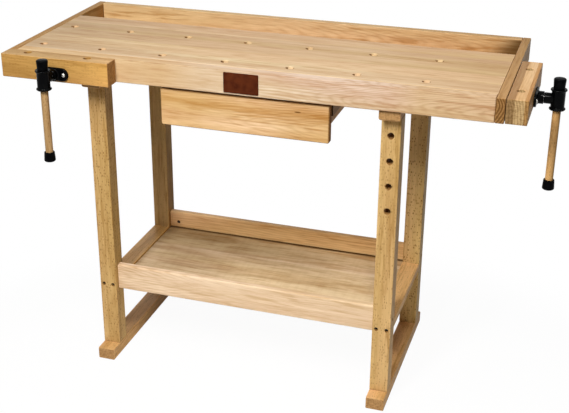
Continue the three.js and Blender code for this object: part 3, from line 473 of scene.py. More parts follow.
def wood(name, box, grain, tone, seed, stave=10.0, stave_tone=0.10, rings=0.5, flecks=0.05,
         layers=None, flame=None, arris_tint=(1.16, 1.14, 1.10)):
    pale, deep, end = (srgb(*c) for c in tone)
    material = bpy.data.materials.new("beech_" + name)
    material.use_nodes = True
    tree = material.node_tree
    surface = tree.nodes["Principled BSDF"]
    surface.inputs["Specular IOR Level"].default_value = 0.06
    coords = tree.nodes.new("ShaderNodeTexCoord")
    low, high = box
    centre = tuple((low + high) / 2)
    half = tuple((high - low) / 2)
    local = vector_calc(tree, "SUBTRACT", coords.outputs["Object"], centre)
    along_grain = turn_to_grain(tree, local, grain)
    grained = place_group(
        tree, beech,
        Place=along_grain,
        Facing=turn_to_grain(tree, coords.outputs["Normal"], grain),
        Pale=pale, Deep=deep, End=end,
        Stave=stave, Tone=stave_tone, Rings=rings, Flecks=flecks, Seed=float(seed),
    )
    worn = place_group(tree, arris, Place=local, Half=half, Width=0.0035)
    colour = grained["Color"]
    if flame:
        arcs = place_group(tree, flame_figure, Place=along_grain, **flame)["Mask"]
        darker = mix_colour(tree, 1.0, colour, (0.76, 0.66, 0.54, 1), "MULTIPLY")
        colour = mix_colour(tree, calc(tree, "MULTIPLY", arcs, 0.55), colour, darker)
    if layers:
        colour = mix_colour(tree, 1.0, colour, layers(tree, local), "MULTIPLY")
    # arris_tint pales the arrises, partly for wear and partly as a painted highlight. On the apron it darkens them.
    arris_tinted = mix_colour(tree, 1.0, colour, (*arris_tint, 1), "MULTIPLY")
    colour = mix_colour(tree, calc(tree, "MULTIPLY", worn["Mask"], 0.7), colour, arris_tinted)
    nicked = mix_colour(tree, 1.0, colour, (0.55, 0.48, 0.42, 1), "MULTIPLY")
    colour = mix_colour(tree, calc(tree, "MULTIPLY", worn["Nicks"], 0.6), colour, nicked)
    tree.links.new(colour, surface.inputs["Base Color"])
    tree.links.new(calc(tree, "MULTIPLY_ADD", worn["Mask"], -0.08, grained["Roughness"]), surface.inputs["Roughness"])
    bump = tree.nodes.new("ShaderNodeBump")
    bump.inputs["Strength"].default_value = 0.35
    bump.inputs["Distance"].default_value = 0.0004
    tree.links.new(grained["Height"], bump.inputs["Height"])
    tree.links.new(bump.outputs[0], surface.inputs["Normal"])
    return material

def dress(node, material):
    for slot in nodes[node].material_slots:
        slot.material = material

print("wood finish ready")

# %% [markdown]
# ## Marks and painted shade of single boards
# Some boards have a look of their own. The top is darker towards both ends, painted shade where the
# light falls off, and paler on its upright faces, the walls of its holes among them. The apron is paler
# in its middle, the drawer's front has golden bands near its edges and one small dark knot, and its top
# and bottom edges are painted dark as the shade in the gap under the apron. The board behind the tool
# well has a painted shadow in its right corner, where the right end board keeps the light off, and the
# shelf's panel is a cloudy veneer with a ripple across it, with painted shade where it lies deep under
# the top and a painted shadow line along the gap at its back. Each of these belongs to one board, so
# they are small functions that return a tint, which the finish multiplies into its colour.

# %% Bands, a knot and clouds
DRAWER_BANDS = (
    (0.0, (0.93, 0.87, 0.76)), (0.16, (0.97, 0.93, 0.85)), (0.30, (1.03, 1.03, 1.04)), (0.54, (1.02, 1.02, 1.02)),
    (0.66, (0.92, 0.85, 0.71)), (0.78, (0.95, 0.90, 0.78)), (0.92, (1.03, 1.02, 1.0)), (1.0, (1.0, 0.97, 0.9)),
)
DRAWER_SHADES = (
    (0.0, (0.96, 0.96, 0.87)), (0.2, (0.95, 0.95, 0.84)), (0.5, (1.06, 1.11, 1.19)), (0.64, (1.06, 1.10, 1.20)),
    (0.8, (0.94, 0.92, 0.88)), (1.0, (0.92, 0.88, 0.79)),
)
# TOP_SHADES darkens the top towards both ends as painted shade where the light falls off, and warms its right end.
TOP_SHADES = (
    (0.0, (0.81, 0.81, 0.80)), (0.15, (0.91, 0.91, 0.90)), (0.36, (1.0, 1.0, 1.0)), (0.70, (1.01, 1.01, 1.0)),
    (0.82, (0.96, 0.92, 0.88)), (1.0, (0.92, 0.85, 0.77)),
)
TOP_DEPTHS = ((0.0, (1.05, 1.10, 1.19)), (0.22, (1.02, 1.04, 1.08)), (0.45, (0.99, 0.98, 1.0)), (1.0, (0.95, 0.91, 0.92)))
JAW_SHADES = ((0.0, (0.94, 0.94, 0.94)), (0.6, (1.0, 1.0, 1.0)), (0.8, (1.06, 1.06, 1.06)), (1.0, (1.28, 1.28, 1.26)))
APRON_SHADES = (
    (0.0, (0.97, 0.93, 0.80)), (0.33, (0.97, 0.94, 0.84)), (0.42, (1.02, 1.08, 1.15)), (0.66, (1.05, 1.14, 1.28)),
    (0.80, (0.98, 1.0, 1.04)), (0.86, (0.88, 0.85, 0.71)), (1.0, (0.92, 0.88, 0.76)),
)
KNOT_PLACE, KNOT_SIZE = (0.1354, 0.0238), (0.0085, 0.0018)

def shade_along(node, steps, way="LINEAR", axis=0):
    """A tint that changes along a board, from its left or front end to its right or rear end."""
    low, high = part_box(node)
    def tint(tree, local):
        share = calc(tree, "MULTIPLY_ADD", split(tree, local)[axis], 1 / (high[axis] - low[axis]), 0.5)
        return ramp(tree, share, steps, way)
    return tint

def upward(tree):
    """One on faces that look straight up or down, and zero on upright ones."""
    facing = split(tree, tree.nodes.new("ShaderNodeTexCoord").outputs["Normal"])[2]
    return ease(tree, calc(tree, "ABSOLUTE", facing), 0.4, 0.8)

def slab_tint(tree, local):
    lengthwise = shade_along("top_slab", TOP_SHADES)(tree, local)
    crosswise = shade_along("top_slab", TOP_DEPTHS, axis=1)(tree, local)
    tint = mix_colour(tree, 1.0, lengthwise, crosswise, "MULTIPLY")
    return mix_colour(tree, upward(tree), (1.3, 1.3, 1.3, 1), tint)

def jaw_tint(tree, local):
    planed = mix_colour(tree, upward(tree), (1, 1, 1, 1), (0.98, 1.1, 1.65, 1))
    return mix_colour(tree, 1.0, shade_along("front_jaw", JAW_SHADES)(tree, local), planed, "MULTIPLY")

def drawer_bands(tree, local):
    low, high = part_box("drawer_front")
    x, y, z = split(tree, local)
    sway = noise(tree, local, (3.0, 3.0, 24.0), 3.0)
    level = calc(tree, "MULTIPLY_ADD", sway, 0.036, calc(tree, "SUBTRACT", z, 0.018))
    tint = ramp(tree, calc(tree, "MULTIPLY_ADD", level, 1 / (high.z - low.z), 0.5), DRAWER_BANDS)
    wide = calc(tree, "DIVIDE", calc(tree, "SUBTRACT", x, KNOT_PLACE[0]), KNOT_SIZE[0])
    tall = calc(tree, "DIVIDE", calc(tree, "SUBTRACT", z, KNOT_PLACE[1]), KNOT_SIZE[1])
    away = calc(tree, "ADD", calc(tree, "POWER", wide, 2.0), calc(tree, "POWER", tall, 2.0))
    tint = mix_colour(tree, 1.0, tint, shade_along("drawer_front", DRAWER_SHADES)(tree, local), "MULTIPLY")
    # Painted shade: the drawer front's top and bottom edges are dark, standing in for the shadow in the gap under the
    # apron.
    tint = mix_colour(tree, upward(tree), tint, (0.45, 0.38, 0.30, 1))
    return mix_colour(tree, ease(tree, away, 1.4, 0.3), tint, (0.28, 0.19, 0.11, 1))

def well_corner_shadow(tree, local):
    # Painted shadow: a slanted triangle at the right end is darkened where the right end board keeps light off the
    # corner of the well. The board also grows warmer and darker towards its right end.
    low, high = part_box("back_board")
    x, y, z = split(tree, local)
    near_end = ease(tree, calc(tree, "MULTIPLY_ADD", z, -0.9, x), 0.50, 0.575)
    inside = ease(tree, z, (high.z - low.z) / 2 - 0.001, (high.z - low.z) / 2 - 0.004)
    warm = mix_colour(tree, ease(tree, x, 0.05, 0.42), (1, 1, 1, 1), (0.90, 0.83, 0.76, 1))
    return mix_colour(tree, calc(tree, "MULTIPLY", near_end, inside), warm, (0.22, 0.17, 0.11, 1))

def panel_clouds(tree, local):
    cloud = ease(tree, noise(tree, local, (4.0, 21.0, 21.0), 4.0, 1.2), 0.40, 0.68)
    ripple = ease(tree, noise(tree, local, (75.0, 12.0, 12.0), 2.0), 0.40, 0.66)
    amount = calc(tree, "MULTIPLY_ADD", ripple, 0.16, calc(tree, "MULTIPLY", cloud, 0.84))
    tint = mix_colour(tree, amount, (1.08, 1.05, 1.01, 1), (0.78, 0.68, 0.56, 1))
    x, y, z = split(tree, local)
    # Painted shade: darker towards the back and the left, where the panel lies deep under the top.
    painted_shade = calc(tree, "MULTIPLY", ease(tree, x, 0.34, -0.30), ease(tree, y, -0.10, 0.18))
    painted_shade = calc(tree, "MAXIMUM", painted_shade, ease(tree, x, 0.05, -0.25, 0.0, 0.6))
    tint = mix_colour(tree, painted_shade, tint, mix_colour(tree, 1.0, tint, (0.58, 0.55, 0.48, 1), "MULTIPLY"))
    # Painted shadow: a dark line along the panel's back edge, for the shadow in the gap at the joint.
    low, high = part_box("shelf_panel")
    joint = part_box("shelf_back_board")[0].y - (low.y + high.y) / 2
    return mix_colour(tree, ease(tree, y, joint - 0.010, joint - 0.003), tint, (0.20, 0.15, 0.10, 1))

print("drawer bands:", len(DRAWER_BANDS), "steps")

# %% Dress the boards
TOP_TONE = ((216, 192, 152), (189, 155, 112), (142, 104, 66))
APRON_TONE = ((217, 194, 166), (186, 149, 113), (162, 119, 70))
LEG_TONE = ((212, 179, 122), (173, 136, 81), (162, 122, 72))
DRAWER_TONE = ((223, 192, 151), (188, 144, 94), (162, 119, 70))
SHELF_TONE = ((230, 209, 177), (198, 167, 127), (173, 128, 78))
TRAY_TONE = ((234, 195, 143), (196, 149, 98), (173, 128, 78))
FOOT_TONE = ((224, 180, 126), (184, 140, 84), (181, 141, 93))
RAIL_TONE = ((229, 188, 127), (193, 149, 87), (186, 145, 95))
# RUNNER_TONE is dark as painted shade: the runners stand in the shadow under the apron.
RUNNER_TONE = ((150, 118, 78), (118, 88, 54), (100, 74, 46))
WELL_TONE = ((219, 189, 145), (183, 144, 96), (162, 119, 70))
END_TONE = ((186, 148, 97), (151, 111, 63), (164, 123, 73))
JAW_TONE = ((193, 150, 87), (157, 114, 58), (159, 117, 70))

boards = [
    ("top_slab", "x", TOP_TONE, dict(
        stave=0.062, stave_tone=0.24, rings=0.2, layers=slab_tint)),
    ("front_apron", "x", APRON_TONE, dict(
        # The apron's arrises are darkened, for the dark line along its seam with the top.
        rings=0.5, arris_tint=(0.52, 0.42, 0.32), layers=shade_along("front_apron", APRON_SHADES),
        flame=dict(Heart=(0.44, 0.004, -0.012), Slope=-0.13, Spacing=0.0040, Length=0.42))),
    ("back_board", "x", WELL_TONE, dict(
        rings=0.3, layers=well_corner_shadow,
        flame=dict(Heart=(0.22, 0.010, -0.006), Slope=0.09, Spacing=0.005, Length=0.5))),
    ("well_rail", "x", WELL_TONE, {}),
    ("tool_well_bottom", "x", WELL_TONE, dict(stave=0.07)),
    ("left_end_board", "y", END_TONE, dict(rings=0.9)),
    ("right_end_board", "y", END_TONE, dict(rings=0.9)),
    ("shelf_front_board", "x", SHELF_TONE, dict(
        rings=0.3, flame=dict(Heart=(-0.27, 0.004, 0.004), Slope=0.16, Spacing=0.0075, Length=0.24))),
    ("shelf_back_board", "x", TRAY_TONE, dict(rings=0.35)),
    ("shelf_panel", "x", SHELF_TONE, dict(rings=0.2, layers=panel_clouds)),
    ("drawer_front", "x", DRAWER_TONE, dict(
        rings=0.25, layers=drawer_bands,
        flame=dict(Heart=(0.1, 0.006, -0.012), Slope=-0.12, Spacing=0.006, Length=0.2))),
    ("drawer_back", "x", DRAWER_TONE, {}),
    ("drawer_bottom", "x", SHELF_TONE, dict(stave=0.08, rings=0.3)),
    ("drawer_left_side", "y", DRAWER_TONE, {}),
    ("drawer_right_side", "y", DRAWER_TONE, {}),
    ("left_drawer_runner", "y", RUNNER_TONE, {}),
    ("right_drawer_runner", "y", RUNNER_TONE, {}),
    ("front_jaw", "x", JAW_TONE, dict(rings=0.12, flecks=0.3, layers=jaw_tint)),
]
for side, rail_tone, leg_flecks in (("left", RAIL_TONE, (0.95, 0.3)), ("right", FOOT_TONE, (0.6, 1.0))):
    for part, tone in (("foot", FOOT_TONE), ("bearer", FOOT_TONE), ("end_rail", rail_tone)):
        boards.append((f"{side}_{part}", "y", tone, dict(rings=0.1, flecks=0.5)))
    for end, flecks in zip(("front", "rear"), leg_flecks):
        boards.append((f"{end}_{side}_leg", "z", LEG_TONE, dict(rings=0.25, flecks=flecks)))

wood_of = {}
for seed, (name, grain, tone, extras) in enumerate(boards, start=3):
    wood_of[name] = wood(name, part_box(name), grain, tone, seed, **extras)
    dress(name, wood_of[name])
print("boards dressed:", len(boards))

# %% [markdown]
# ## The end jaw's layers
# The end jaw is glued up from three boards of different wood: a dark one against the bench, a pale
# one in the middle and a thin reddish one outside. A colour ramp across the jaw's thickness, with
# constant steps, tints the same beech group, so the glue lines stay crisp from any side.

# %% Dress the end jaw
JAW_LAYERS = ((0.0, (0.56, 0.51, 0.45)), (0.36, (1.0, 1.02, 1.02)), (0.82, (0.72, 0.60, 0.44)))
END_JAW_TONE = ((228, 192, 143), (196, 154, 104), (195, 163, 116))

jaw_layers = shade_along("end_jaw", JAW_LAYERS, "CONSTANT")
wood_of["end_jaw"] = wood("end_jaw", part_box("end_jaw"), "y", END_JAW_TONE, 71, rings=0.3, layers=jaw_layers)
dress("end_jaw", wood_of["end_jaw"])
print("end jaw has", len(JAW_LAYERS), "layers")

# %% [markdown]
# ## Enamel, plastic and steel
# The vise castings are brushed with black enamel, the handle caps are moulded black plastic, the
# screws are zinc plated and the rods are plain bright steel. They differ in colour, gloss and grain,
# but all of them show the same kind of handling marks: cloudy smears and fine specks. One group makes
# these, and each finish uses it at its own scale.

# %% The handling group and four finishes
def make_handling():
    tree, given, out = new_group(
        "handling_marks",
        [("Place", "Vector", (0, 0, 0)), ("Scale", "Float", 40.0), ("Grain", "Float", 900.0)],
        [("Smears", "Float"), ("Specks", "Float"), ("Height", "Float")],
    )
    big = tree.nodes.new("ShaderNodeTexNoise")
    big.inputs["Detail"].default_value = 4.0
    feed(tree, big.inputs["Vector"], given["Place"])
    feed(tree, big.inputs["Scale"], given["Scale"])
    fine = tree.nodes.new("ShaderNodeTexNoise")
    fine.inputs["Detail"].default_value = 2.0
    feed(tree, fine.inputs["Vector"], given["Place"])
    feed(tree, fine.inputs["Scale"], given["Grain"])
    tree.links.new(ease(tree, big.outputs[0], 0.35, 0.7), out["Smears"])
    tree.links.new(ease(tree, fine.outputs[0], 0.6, 0.72), out["Specks"])
    tree.links.new(fine.outputs[0], out["Height"])
    return tree

handling = make_handling()

def coated(name, colour, smear_colour, roughness, metallic, scale, grain, bump_strength, gloss=0.5, smear=0.16):
    material = bpy.data.materials.new(name)
    material.use_nodes = True
    tree = material.node_tree
    surface = tree.nodes["Principled BSDF"]
    surface.inputs["Metallic"].default_value = metallic
    surface.inputs["Specular IOR Level"].default_value = gloss
    coords = tree.nodes.new("ShaderNodeTexCoord")
    marks = place_group(tree, handling, Place=coords.outputs["Object"], Scale=scale, Grain=grain)
    tint = mix_colour(tree, marks["Smears"], srgb(*colour), srgb(*smear_colour))
    tint = mix_colour(tree, calc(tree, "MULTIPLY", marks["Specks"], 0.25), tint, srgb(*smear_colour))
    tree.links.new(tint, surface.inputs["Base Color"])
    rough = calc(tree, "MULTIPLY_ADD", marks["Smears"], smear, roughness)
    tree.links.new(calc(tree, "MULTIPLY_ADD", marks["Specks"], 0.08, rough), surface.inputs["Roughness"])
    bump = tree.nodes.new("ShaderNodeBump")
    bump.inputs["Strength"].default_value = bump_strength
    bump.inputs["Distance"].default_value = 0.0003
    tree.links.new(marks["Height"], bump.inputs["Height"])
    tree.links.new(bump.outputs[0], surface.inputs["Normal"])
    return material

black_enamel = coated("black_enamel", (3, 3, 4), (8, 8, 8), 0.07, 0.0, 45, 500, 0.12, 0.04, 0.05)
black_plastic = coated("black_plastic", (4, 4, 5), (10, 10, 11), 0.28, 0.0, 60, 1600, 0.20, 0.02)
zinc_steel = coated("zinc_steel", (202, 200, 194), (150, 146, 138), 0.26, 1.0, 120, 1400, 0.12)
bright_steel = coated("bright_steel", (188, 187, 184), (140, 138, 134), 0.24, 1.0, 60, 1100, 0.10)
dark_steel = coated("dark_steel", (74, 72, 70), (40, 38, 37), 0.38, 1.0, 140, 1300, 0.15)
for vise in ("front", "end"):
    dress(f"{vise}_nut_plate", black_enamel)
print("finishes:", [m.name for m in (black_enamel, black_plastic, zinc_steel, bright_steel, dark_steel)])

# %% [markdown]
# ## Turning round pieces
# Hubs, caps, rods and handles are turned: a profile spun around an axis. Blender's Screw modifier and
# the Spin operator do that too, but a small function that lays rings of points is easier to steer: it
# closes the poles and welds the seam, and a second function says which edges stay crisp. Each profile
# point is a radius and a height, and the finished mesh is carried to its place by a matrix, so the
# object stays at the origin.

# %% Mesh helpers
SIDES = 48
CRISP_ANGLE = math.radians(32)

def turned(name, profile, matrix=Matrix(), sides=SIDES, ring=False):
    """Spin (radius, height) points about Z. A ring profile closes on itself and keeps a hole."""
    shape = bmesh.new()
    rows = []
    for radius, height in profile:
        if radius < 1e-7:
            rows.append([shape.verts.new((0, 0, height))])
        else:
            turns = (2 * math.pi * i / sides for i in range(sides))
            rows.append([shape.verts.new((radius * math.cos(t), radius * math.sin(t), height)) for t in turns])
    pairs = list(zip(rows, rows[1:]))
    if ring:
        pairs.append((rows[-1], rows[0]))
    for lower, upper in pairs:
        for i in range(sides):
            j = (i + 1) % sides
            corners = [lower[i % len(lower)], lower[j % len(lower)], upper[j % len(upper)], upper[i % len(upper)]]
            unique = list(dict.fromkeys(corners))
            if len(unique) > 2:
                shape.faces.new(unique)
    bmesh.ops.recalc_face_normals(shape, faces=shape.faces)
    shape.transform(matrix)
    mesh = bpy.data.meshes.new(name)
    shape.to_mesh(mesh)
    shape.free()
    return mesh

def crisp(mesh, angle=CRISP_ANGLE):
    """Smooth shading, with the edges that bend more than the angle kept sharp."""
    shape = bmesh.new()
    shape.from_mesh(mesh)
    for face in shape.faces:
        face.smooth = True
    for edge in shape.edges:
        edge.smooth = len(edge.link_faces) == 2 and edge.calc_face_angle(0) < angle
    shape.to_mesh(mesh)
    shape.free()

def joined(name, meshes):
    shape = bmesh.new()
    for mesh in meshes:
        shape.from_mesh(mesh)
        bpy.data.meshes.remove(mesh)
    mesh = bpy.data.meshes.new(name)
    shape.to_mesh(mesh)
    shape.free()
    return mesh

def piece(name, mesh, body, slot, material, *stands_for):
    """Hang a finished mesh on a body of the bench, in place of the solids that it stands for."""
    mesh.materials.clear()
    mesh.materials.append(material)
    for face in mesh.polygons:
        face.material_index = 0
    thing = bpy.data.objects.new(name, mesh)
    scene.collection.objects.link(thing)
    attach(thing, body)
    if stands_for:
        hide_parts(*stands_for)
    return thing

print("mesh helpers ready")

# %% [markdown]
# ## Where the vises sit
# Both vises are the same fitting, so they are built once, in a frame of their own: the origin is on
# the screw's axis at the face of the bench, and the screw points out along -Y. The front vise uses
# that frame as it is, and the end vise turns it a quarter to the left. The OUT matrix stands a turned
# profile's Z axis along that outward direction.

# %% Vise frames
OUT = Matrix.Rotation(math.pi / 2, 4, "X")

def middle(node):
    low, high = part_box(node)
    return (low + high) / 2

front_axis = middle("front_lead_screw")
end_axis = middle("end_lead_screw")
front_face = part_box("front_apron")[0].y
end_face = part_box("right_end_board")[1].x
vises = {
    "front": dict(
        frame=Matrix.Translation((front_axis.x, front_face, front_axis.z)),
        jaw_face=front_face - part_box("front_jaw")[0].y,
        jaw_back=front_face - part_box("front_jaw")[1].y,
        hub=front_face - middle("front_handle_bar").y,
    ),
    "end": dict(
        frame=Matrix.Translation((end_face, end_axis.y, end_axis.z)) @ Matrix.Rotation(math.pi / 2, 4, "Z"),
        jaw_face=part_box("end_jaw")[1].x - end_face,
        jaw_back=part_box("end_jaw")[0].x - end_face,
        hub=middle("end_handle_bar").x - end_face,
    ),
}
for name, vise in vises.items():
    print(name, "vise: jaw face", round(vise["jaw_face"] * 1000, 1), "mm out, hub", round(vise["hub"] * 1000, 1))

# %% [markdown]
# ## Lead screws
# The screw that drives each jaw is a steel bar with a coarse round thread. A thread follows a rule, a
# ridge that climbs one pitch per turn, so Geometry Nodes make it: a spiral curve swept with a small
# circle, half sunk in a core. The inputs are sizes with names, and each is set by the identifier of
# its socket before the tree runs. The thread is right handed, so the jaw opens when the screw is
# turned to the left, as seen from the handle.

# %% The thread tree
def node_tree(name, inputs):
    tree = bpy.data.node_groups.new(name, "GeometryNodeTree")
    tree.interface.new_socket("Geometry", in_out="INPUT", socket_type="NodeSocketGeometry")
    for label, kind in inputs:
        tree.interface.new_socket(label, in_out="INPUT", socket_type="NodeSocket" + kind)
    tree.interface.new_socket("Geometry", in_out="OUTPUT", socket_type="NodeSocketGeometry")
    entry = tree.nodes.new("NodeGroupInput").outputs
    exit_ = tree.nodes.new("NodeGroupOutput").inputs
    return tree, entry, exit_

def set_inputs(modifier, tree, values):
    for item in tree.interface.items_tree:
        if item.item_type == "SOCKET" and item.in_out == "INPUT" and item.name in values:
            modifier[item.identifier] = values[item.name]

def run_tree(name, tree, values, start=None):
    """Run a tree on a start mesh and return the result as a plain mesh."""
    holder = bpy.data.objects.new(name + "_holder", start or bpy.data.meshes.new(name + "_start"))
    scene.collection.objects.link(holder)
    modifier = holder.modifiers.new("shape", "NODES")
    modifier.node_group = tree
    set_inputs(modifier, tree, values)
    bpy.context.view_layer.update()
    graph = bpy.context.evaluated_depsgraph_get()
    mesh = bpy.data.meshes.new_from_object(holder.evaluated_get(graph))
    mesh.name = name
    holder.modifiers.remove(modifier)
    bpy.data.objects.remove(holder)
    return mesh

def make_thread_tree():
    tree, given, out = node_tree("lead_thread", [
        ("Core Radius", "Float"), ("Ridge Radius", "Float"), ("Length", "Float"),
        ("Turns", "Float"), ("Finish", "Material"),
    ])
    new = tree.nodes.new
    spiral = new("GeometryNodeCurveSpiral")
    spiral.inputs["Resolution"].default_value = 28
    spiral.inputs["Reverse"].default_value = True
    tree.links.new(given["Turns"], spiral.inputs["Rotations"])
    tree.links.new(given["Core Radius"], spiral.inputs["Start Radius"])
    tree.links.new(given["Core Radius"], spiral.inputs["End Radius"])
    tree.links.new(given["Length"], spiral.inputs["Height"])
    ridge = new("GeometryNodeCurvePrimitiveCircle")
    ridge.inputs["Resolution"].default_value = 8
    tree.links.new(given["Ridge Radius"], ridge.inputs["Radius"])
    sweep = new("GeometryNodeCurveToMesh")
    sweep.inputs["Fill Caps"].default_value = True
    tree.links.new(spiral.outputs[0], sweep.inputs["Curve"])
    tree.links.new(ridge.outputs[0], sweep.inputs["Profile Curve"])
    both = new("GeometryNodeJoinGeometry")
    tree.links.new(sweep.outputs[0], both.inputs[0])
    tree.links.new(given["Geometry"], both.inputs[0])
    realize = new("GeometryNodeRealizeInstances")
    finish = new("GeometryNodeSetMaterial")
    tree.links.new(both.outputs[0], realize.inputs[0])
    tree.links.new(realize.outputs[0], finish.inputs["Geometry"])
    tree.links.new(given["Finish"], finish.inputs["Material"])
    tree.links.new(finish.outputs[0], out["Geometry"])
    return tree

thread_tree = make_thread_tree()
print("thread tree:", len(thread_tree.nodes), "nodes")

# %% Cut the lead screws
RIDGE = 0.0016
PITCH = 0.006
SHANK = 0.004

def reach(prefix, node):
    """How far a piece of a vise reaches into the bench and out of it, along the screw."""
    low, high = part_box(f"{prefix}_{node}")
    if prefix == "front":
        return front_face - high.y, front_face - low.y
    return low.x - end_face, high.x - end_face

def bar_radius(prefix, node):
    low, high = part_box(f"{prefix}_{node}")
    return (high.z - low.z) / 2

for prefix, vise in vises.items():
    inner, outer = reach(prefix, "lead_screw")
    full = bar_radius(prefix, "lead_screw")
    core = full - RIDGE
    shoulder = SHANK - inner
    bar = turned("bar", [
        (0, 0), (core - 0.0015, 0), (core, 0.0015), (core, shoulder - 0.002), (full, shoulder),
        (full, outer - inner - 0.001), (full - 0.001, outer - inner), (0, outer - inner),
    ])
    start = RIDGE + 0.0005
    bar.transform(Matrix.Translation((0, 0, -start)))
    length = shoulder - 2 * start
    mesh = run_tree(prefix + "_lead_screw", thread_tree, {
        "Core Radius": core, "Ridge Radius": RIDGE, "Length": length,
        "Turns": length / PITCH, "Finish": bright_steel,
    }, bar)
    mesh.transform(vise["frame"] @ OUT @ Matrix.Translation((0, 0, inner + start)))
    crisp(mesh)
    piece(prefix + "_threaded_screw", mesh, prefix + "_vise_screw", "zinc_steel", bright_steel, prefix + "_lead_screw")
    print(prefix, "screw:", len(mesh.polygons), "faces")

# %% [markdown]
# ## Guide rods
# Two plain rods beside each screw keep the jaw square to the bench. They are cut from ground bar and
# only their ends are turned to a small chamfer, so a profile of six points is all they need.

# %% Turn the guide rods
for prefix, vise in vises.items():
    for side in ("left", "right"):
        node = f"guide_rod_{side}"
        inner, outer = reach(prefix, node)
        radius = bar_radius(prefix, node)
        length = outer - inner
        rod = turned("rod", [
            (0, 0), (radius - 0.0012, 0), (radius, 0.0012),
            (radius, length - 0.0012), (radius - 0.0012, length), (0, length),
        ])
        offset = vise["frame"].inverted() @ middle(f"{prefix}_{node}")
        rod.transform(vise["frame"] @ Matrix.Translation((offset.x, 0, 0)) @ OUT @ Matrix.Translation((0, 0, inner)))
        crisp(rod)
        piece(f"{prefix}_rod_{side}", rod, prefix + "_vise_jaw", "zinc_steel", bright_steel, f"{prefix}_{node}")
print("guide rods turned: 4")

# %% [markdown]
# ## Hubs
# Each screw ends in a cast hub: an upright sleeve for the handle, with a rolled ring at its top and
# bottom, and a round neck that joins it to the screw. Both parts are turned shapes, one about the
# upright axis with a bore through it and one about the screw's axis. The neck stops inside the wall
# of the sleeve, so the two shells meet as one casting without a cut.

# %% Turn the hubs
def arc(centre_radius, centre_height, size, first, last, steps=5):
    """Points of a rounded edge in a profile, from one angle to another in degrees."""
    turns = (math.radians(first + (last - first) * i / steps) for i in range(steps + 1))
    return [(centre_radius + size * math.cos(t), centre_height + size * math.sin(t)) for t in turns]

SLEEVE = 0.0158
RING = 0.0188
BORE = 0.0099
BEAD = 0.0024

for prefix, vise in vises.items():
    low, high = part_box(prefix + "_hub")
    half = (high.z - low.z) / 2
    outside = [(BORE, -half), (RING - 0.0015, -half)]
    outside += arc(RING - BEAD, -half + BEAD, BEAD, -70, 60)
    outside += [(SLEEVE + 0.0004, -half + 0.0054), (SLEEVE, -half + 0.0064)]
    profile = outside + [(r, -h) for r, h in reversed(outside)]
    sleeve = turned("sleeve", profile, Matrix.Translation((0, -vise["hub"], 0)), ring=True)
    seat = reach(prefix, "flange")[1] + 0.0003
    wall = vise["hub"] - 0.0101
    neck = turned("neck", [
        (0, seat), (0.0118, seat), (0.0128, seat + 0.001), (0.0128, wall - 0.006), (0.0121, wall - 0.002),
        (0.0120, wall), (0, wall),
    ], OUT)
    hub = joined(prefix + "_hub", [sleeve, neck])
    hub.transform(vise["frame"])
    crisp(hub, math.radians(40))
    piece(prefix + "_handle_hub", hub, prefix + "_vise_screw", "black_enamel", black_enamel, prefix + "_hub")
print("hubs turned: 2")

# %% [markdown]
# ## Flanges
# The flange is the oblong black casting that holds the screw to the jaw. Its edge is rounded where it
# faces out. A shape like that is a stack of the same outline, each layer a little smaller or further
# out, with the first and last layer closed. The boss in its middle is turned, with a soft fillet.

# %% Cast the flanges
def stacked(name, outline, layers, matrix=Matrix()):
    """Join copies of an outline: each layer has an inset and a height. The ends are closed."""
    shape = bmesh.new()
    rows = [[shape.verts.new((x, y, height)) for x, y in outline(inset)] for inset, height in layers]
    for lower, upper in zip(rows, rows[1:]):
        for i in range(len(lower)):
            j = (i + 1) % len(lower)
            shape.faces.new((lower[i], lower[j], upper[j], upper[i]))
    shape.faces.new(rows[0][::-1])
    shape.faces.new(rows[-1])
    bmesh.ops.recalc_face_normals(shape, faces=shape.faces)
    shape.transform(matrix)
    mesh = bpy.data.meshes.new(name)
    shape.to_mesh(mesh)
    shape.free()
    return mesh

def rounded_outline(width, height, radius, steps=12):
    """An outline with round corners, as a function of how far it is inset."""
    def outline(inset):
        corner = max(radius - inset, 0.0002)
        x, y = width / 2 - inset - corner, height / 2 - inset - corner
        points = []
        for quarter, (cx, cy) in enumerate(((x, y), (-x, y), (-x, -y), (x, -y))):
            for i in range(steps + 1):
                t = math.pi / 2 * (quarter + i / steps)
                points.append((cx + corner * math.cos(t), cy + corner * math.sin(t)))
        return points
    return outline

FLANGE_WIDTH, FLANGE_HEIGHT, FLANGE_THICK = 0.080, 0.0325, 0.006
BOSS = 0.0147

for prefix, vise in vises.items():
    back, front = reach(prefix, "flange")
    edge = back + FLANGE_THICK
    layers = [(0.0006, back), (0, back + 0.0006)]
    layers += [(0.0022 * (1 - math.cos(t)), edge - 0.0022 * (1 - math.sin(t))) for t in (0, 0.5, 1.0, math.pi / 2)]
    plate = stacked("plate", rounded_outline(FLANGE_WIDTH, FLANGE_HEIGHT, FLANGE_HEIGHT / 2 - 0.0001), layers, OUT)
    fillet = [(BOSS + 0.0030 * (1 - math.sin(t)), edge + 0.0030 * (1 - math.cos(t))) for t in (0, 0.5, 1.0, math.pi / 2)]
    boss = turned("boss", [
        (0.0107, back), (BOSS, back), *fillet, (BOSS, front - 0.0012), (BOSS - 0.0012, front), (0.0107, front),
    ], OUT, ring=True)
    flange = joined(prefix + "_flange", [plate, boss])
    flange.transform(vise["frame"])
    crisp(flange, math.radians(40))
    piece(prefix + "_screw_flange", flange, prefix + "_vise_jaw", "black_enamel", black_enamel, prefix + "_flange")
print("flanges cast: 2")

# %% [markdown]
# ## Handles
# A handle is a beech bar that slides through the hub, with a black plastic cap pressed on each end.
# The caps flare towards their closed end, which is softly domed. The bar keeps the beech finish with
# the grain upright, in a tone of its own for each vise, since it is turned from a clean dowel.

# %% Turn the handles
HANDLE_TONES = {
    "front": ((182, 149, 108), (150, 115, 74), (150, 110, 64)),
    "end": ((216, 175, 114), (178, 135, 78), (150, 110, 64)),
}
CAP_MOUTH, CAP_END = 0.0128, 0.0142

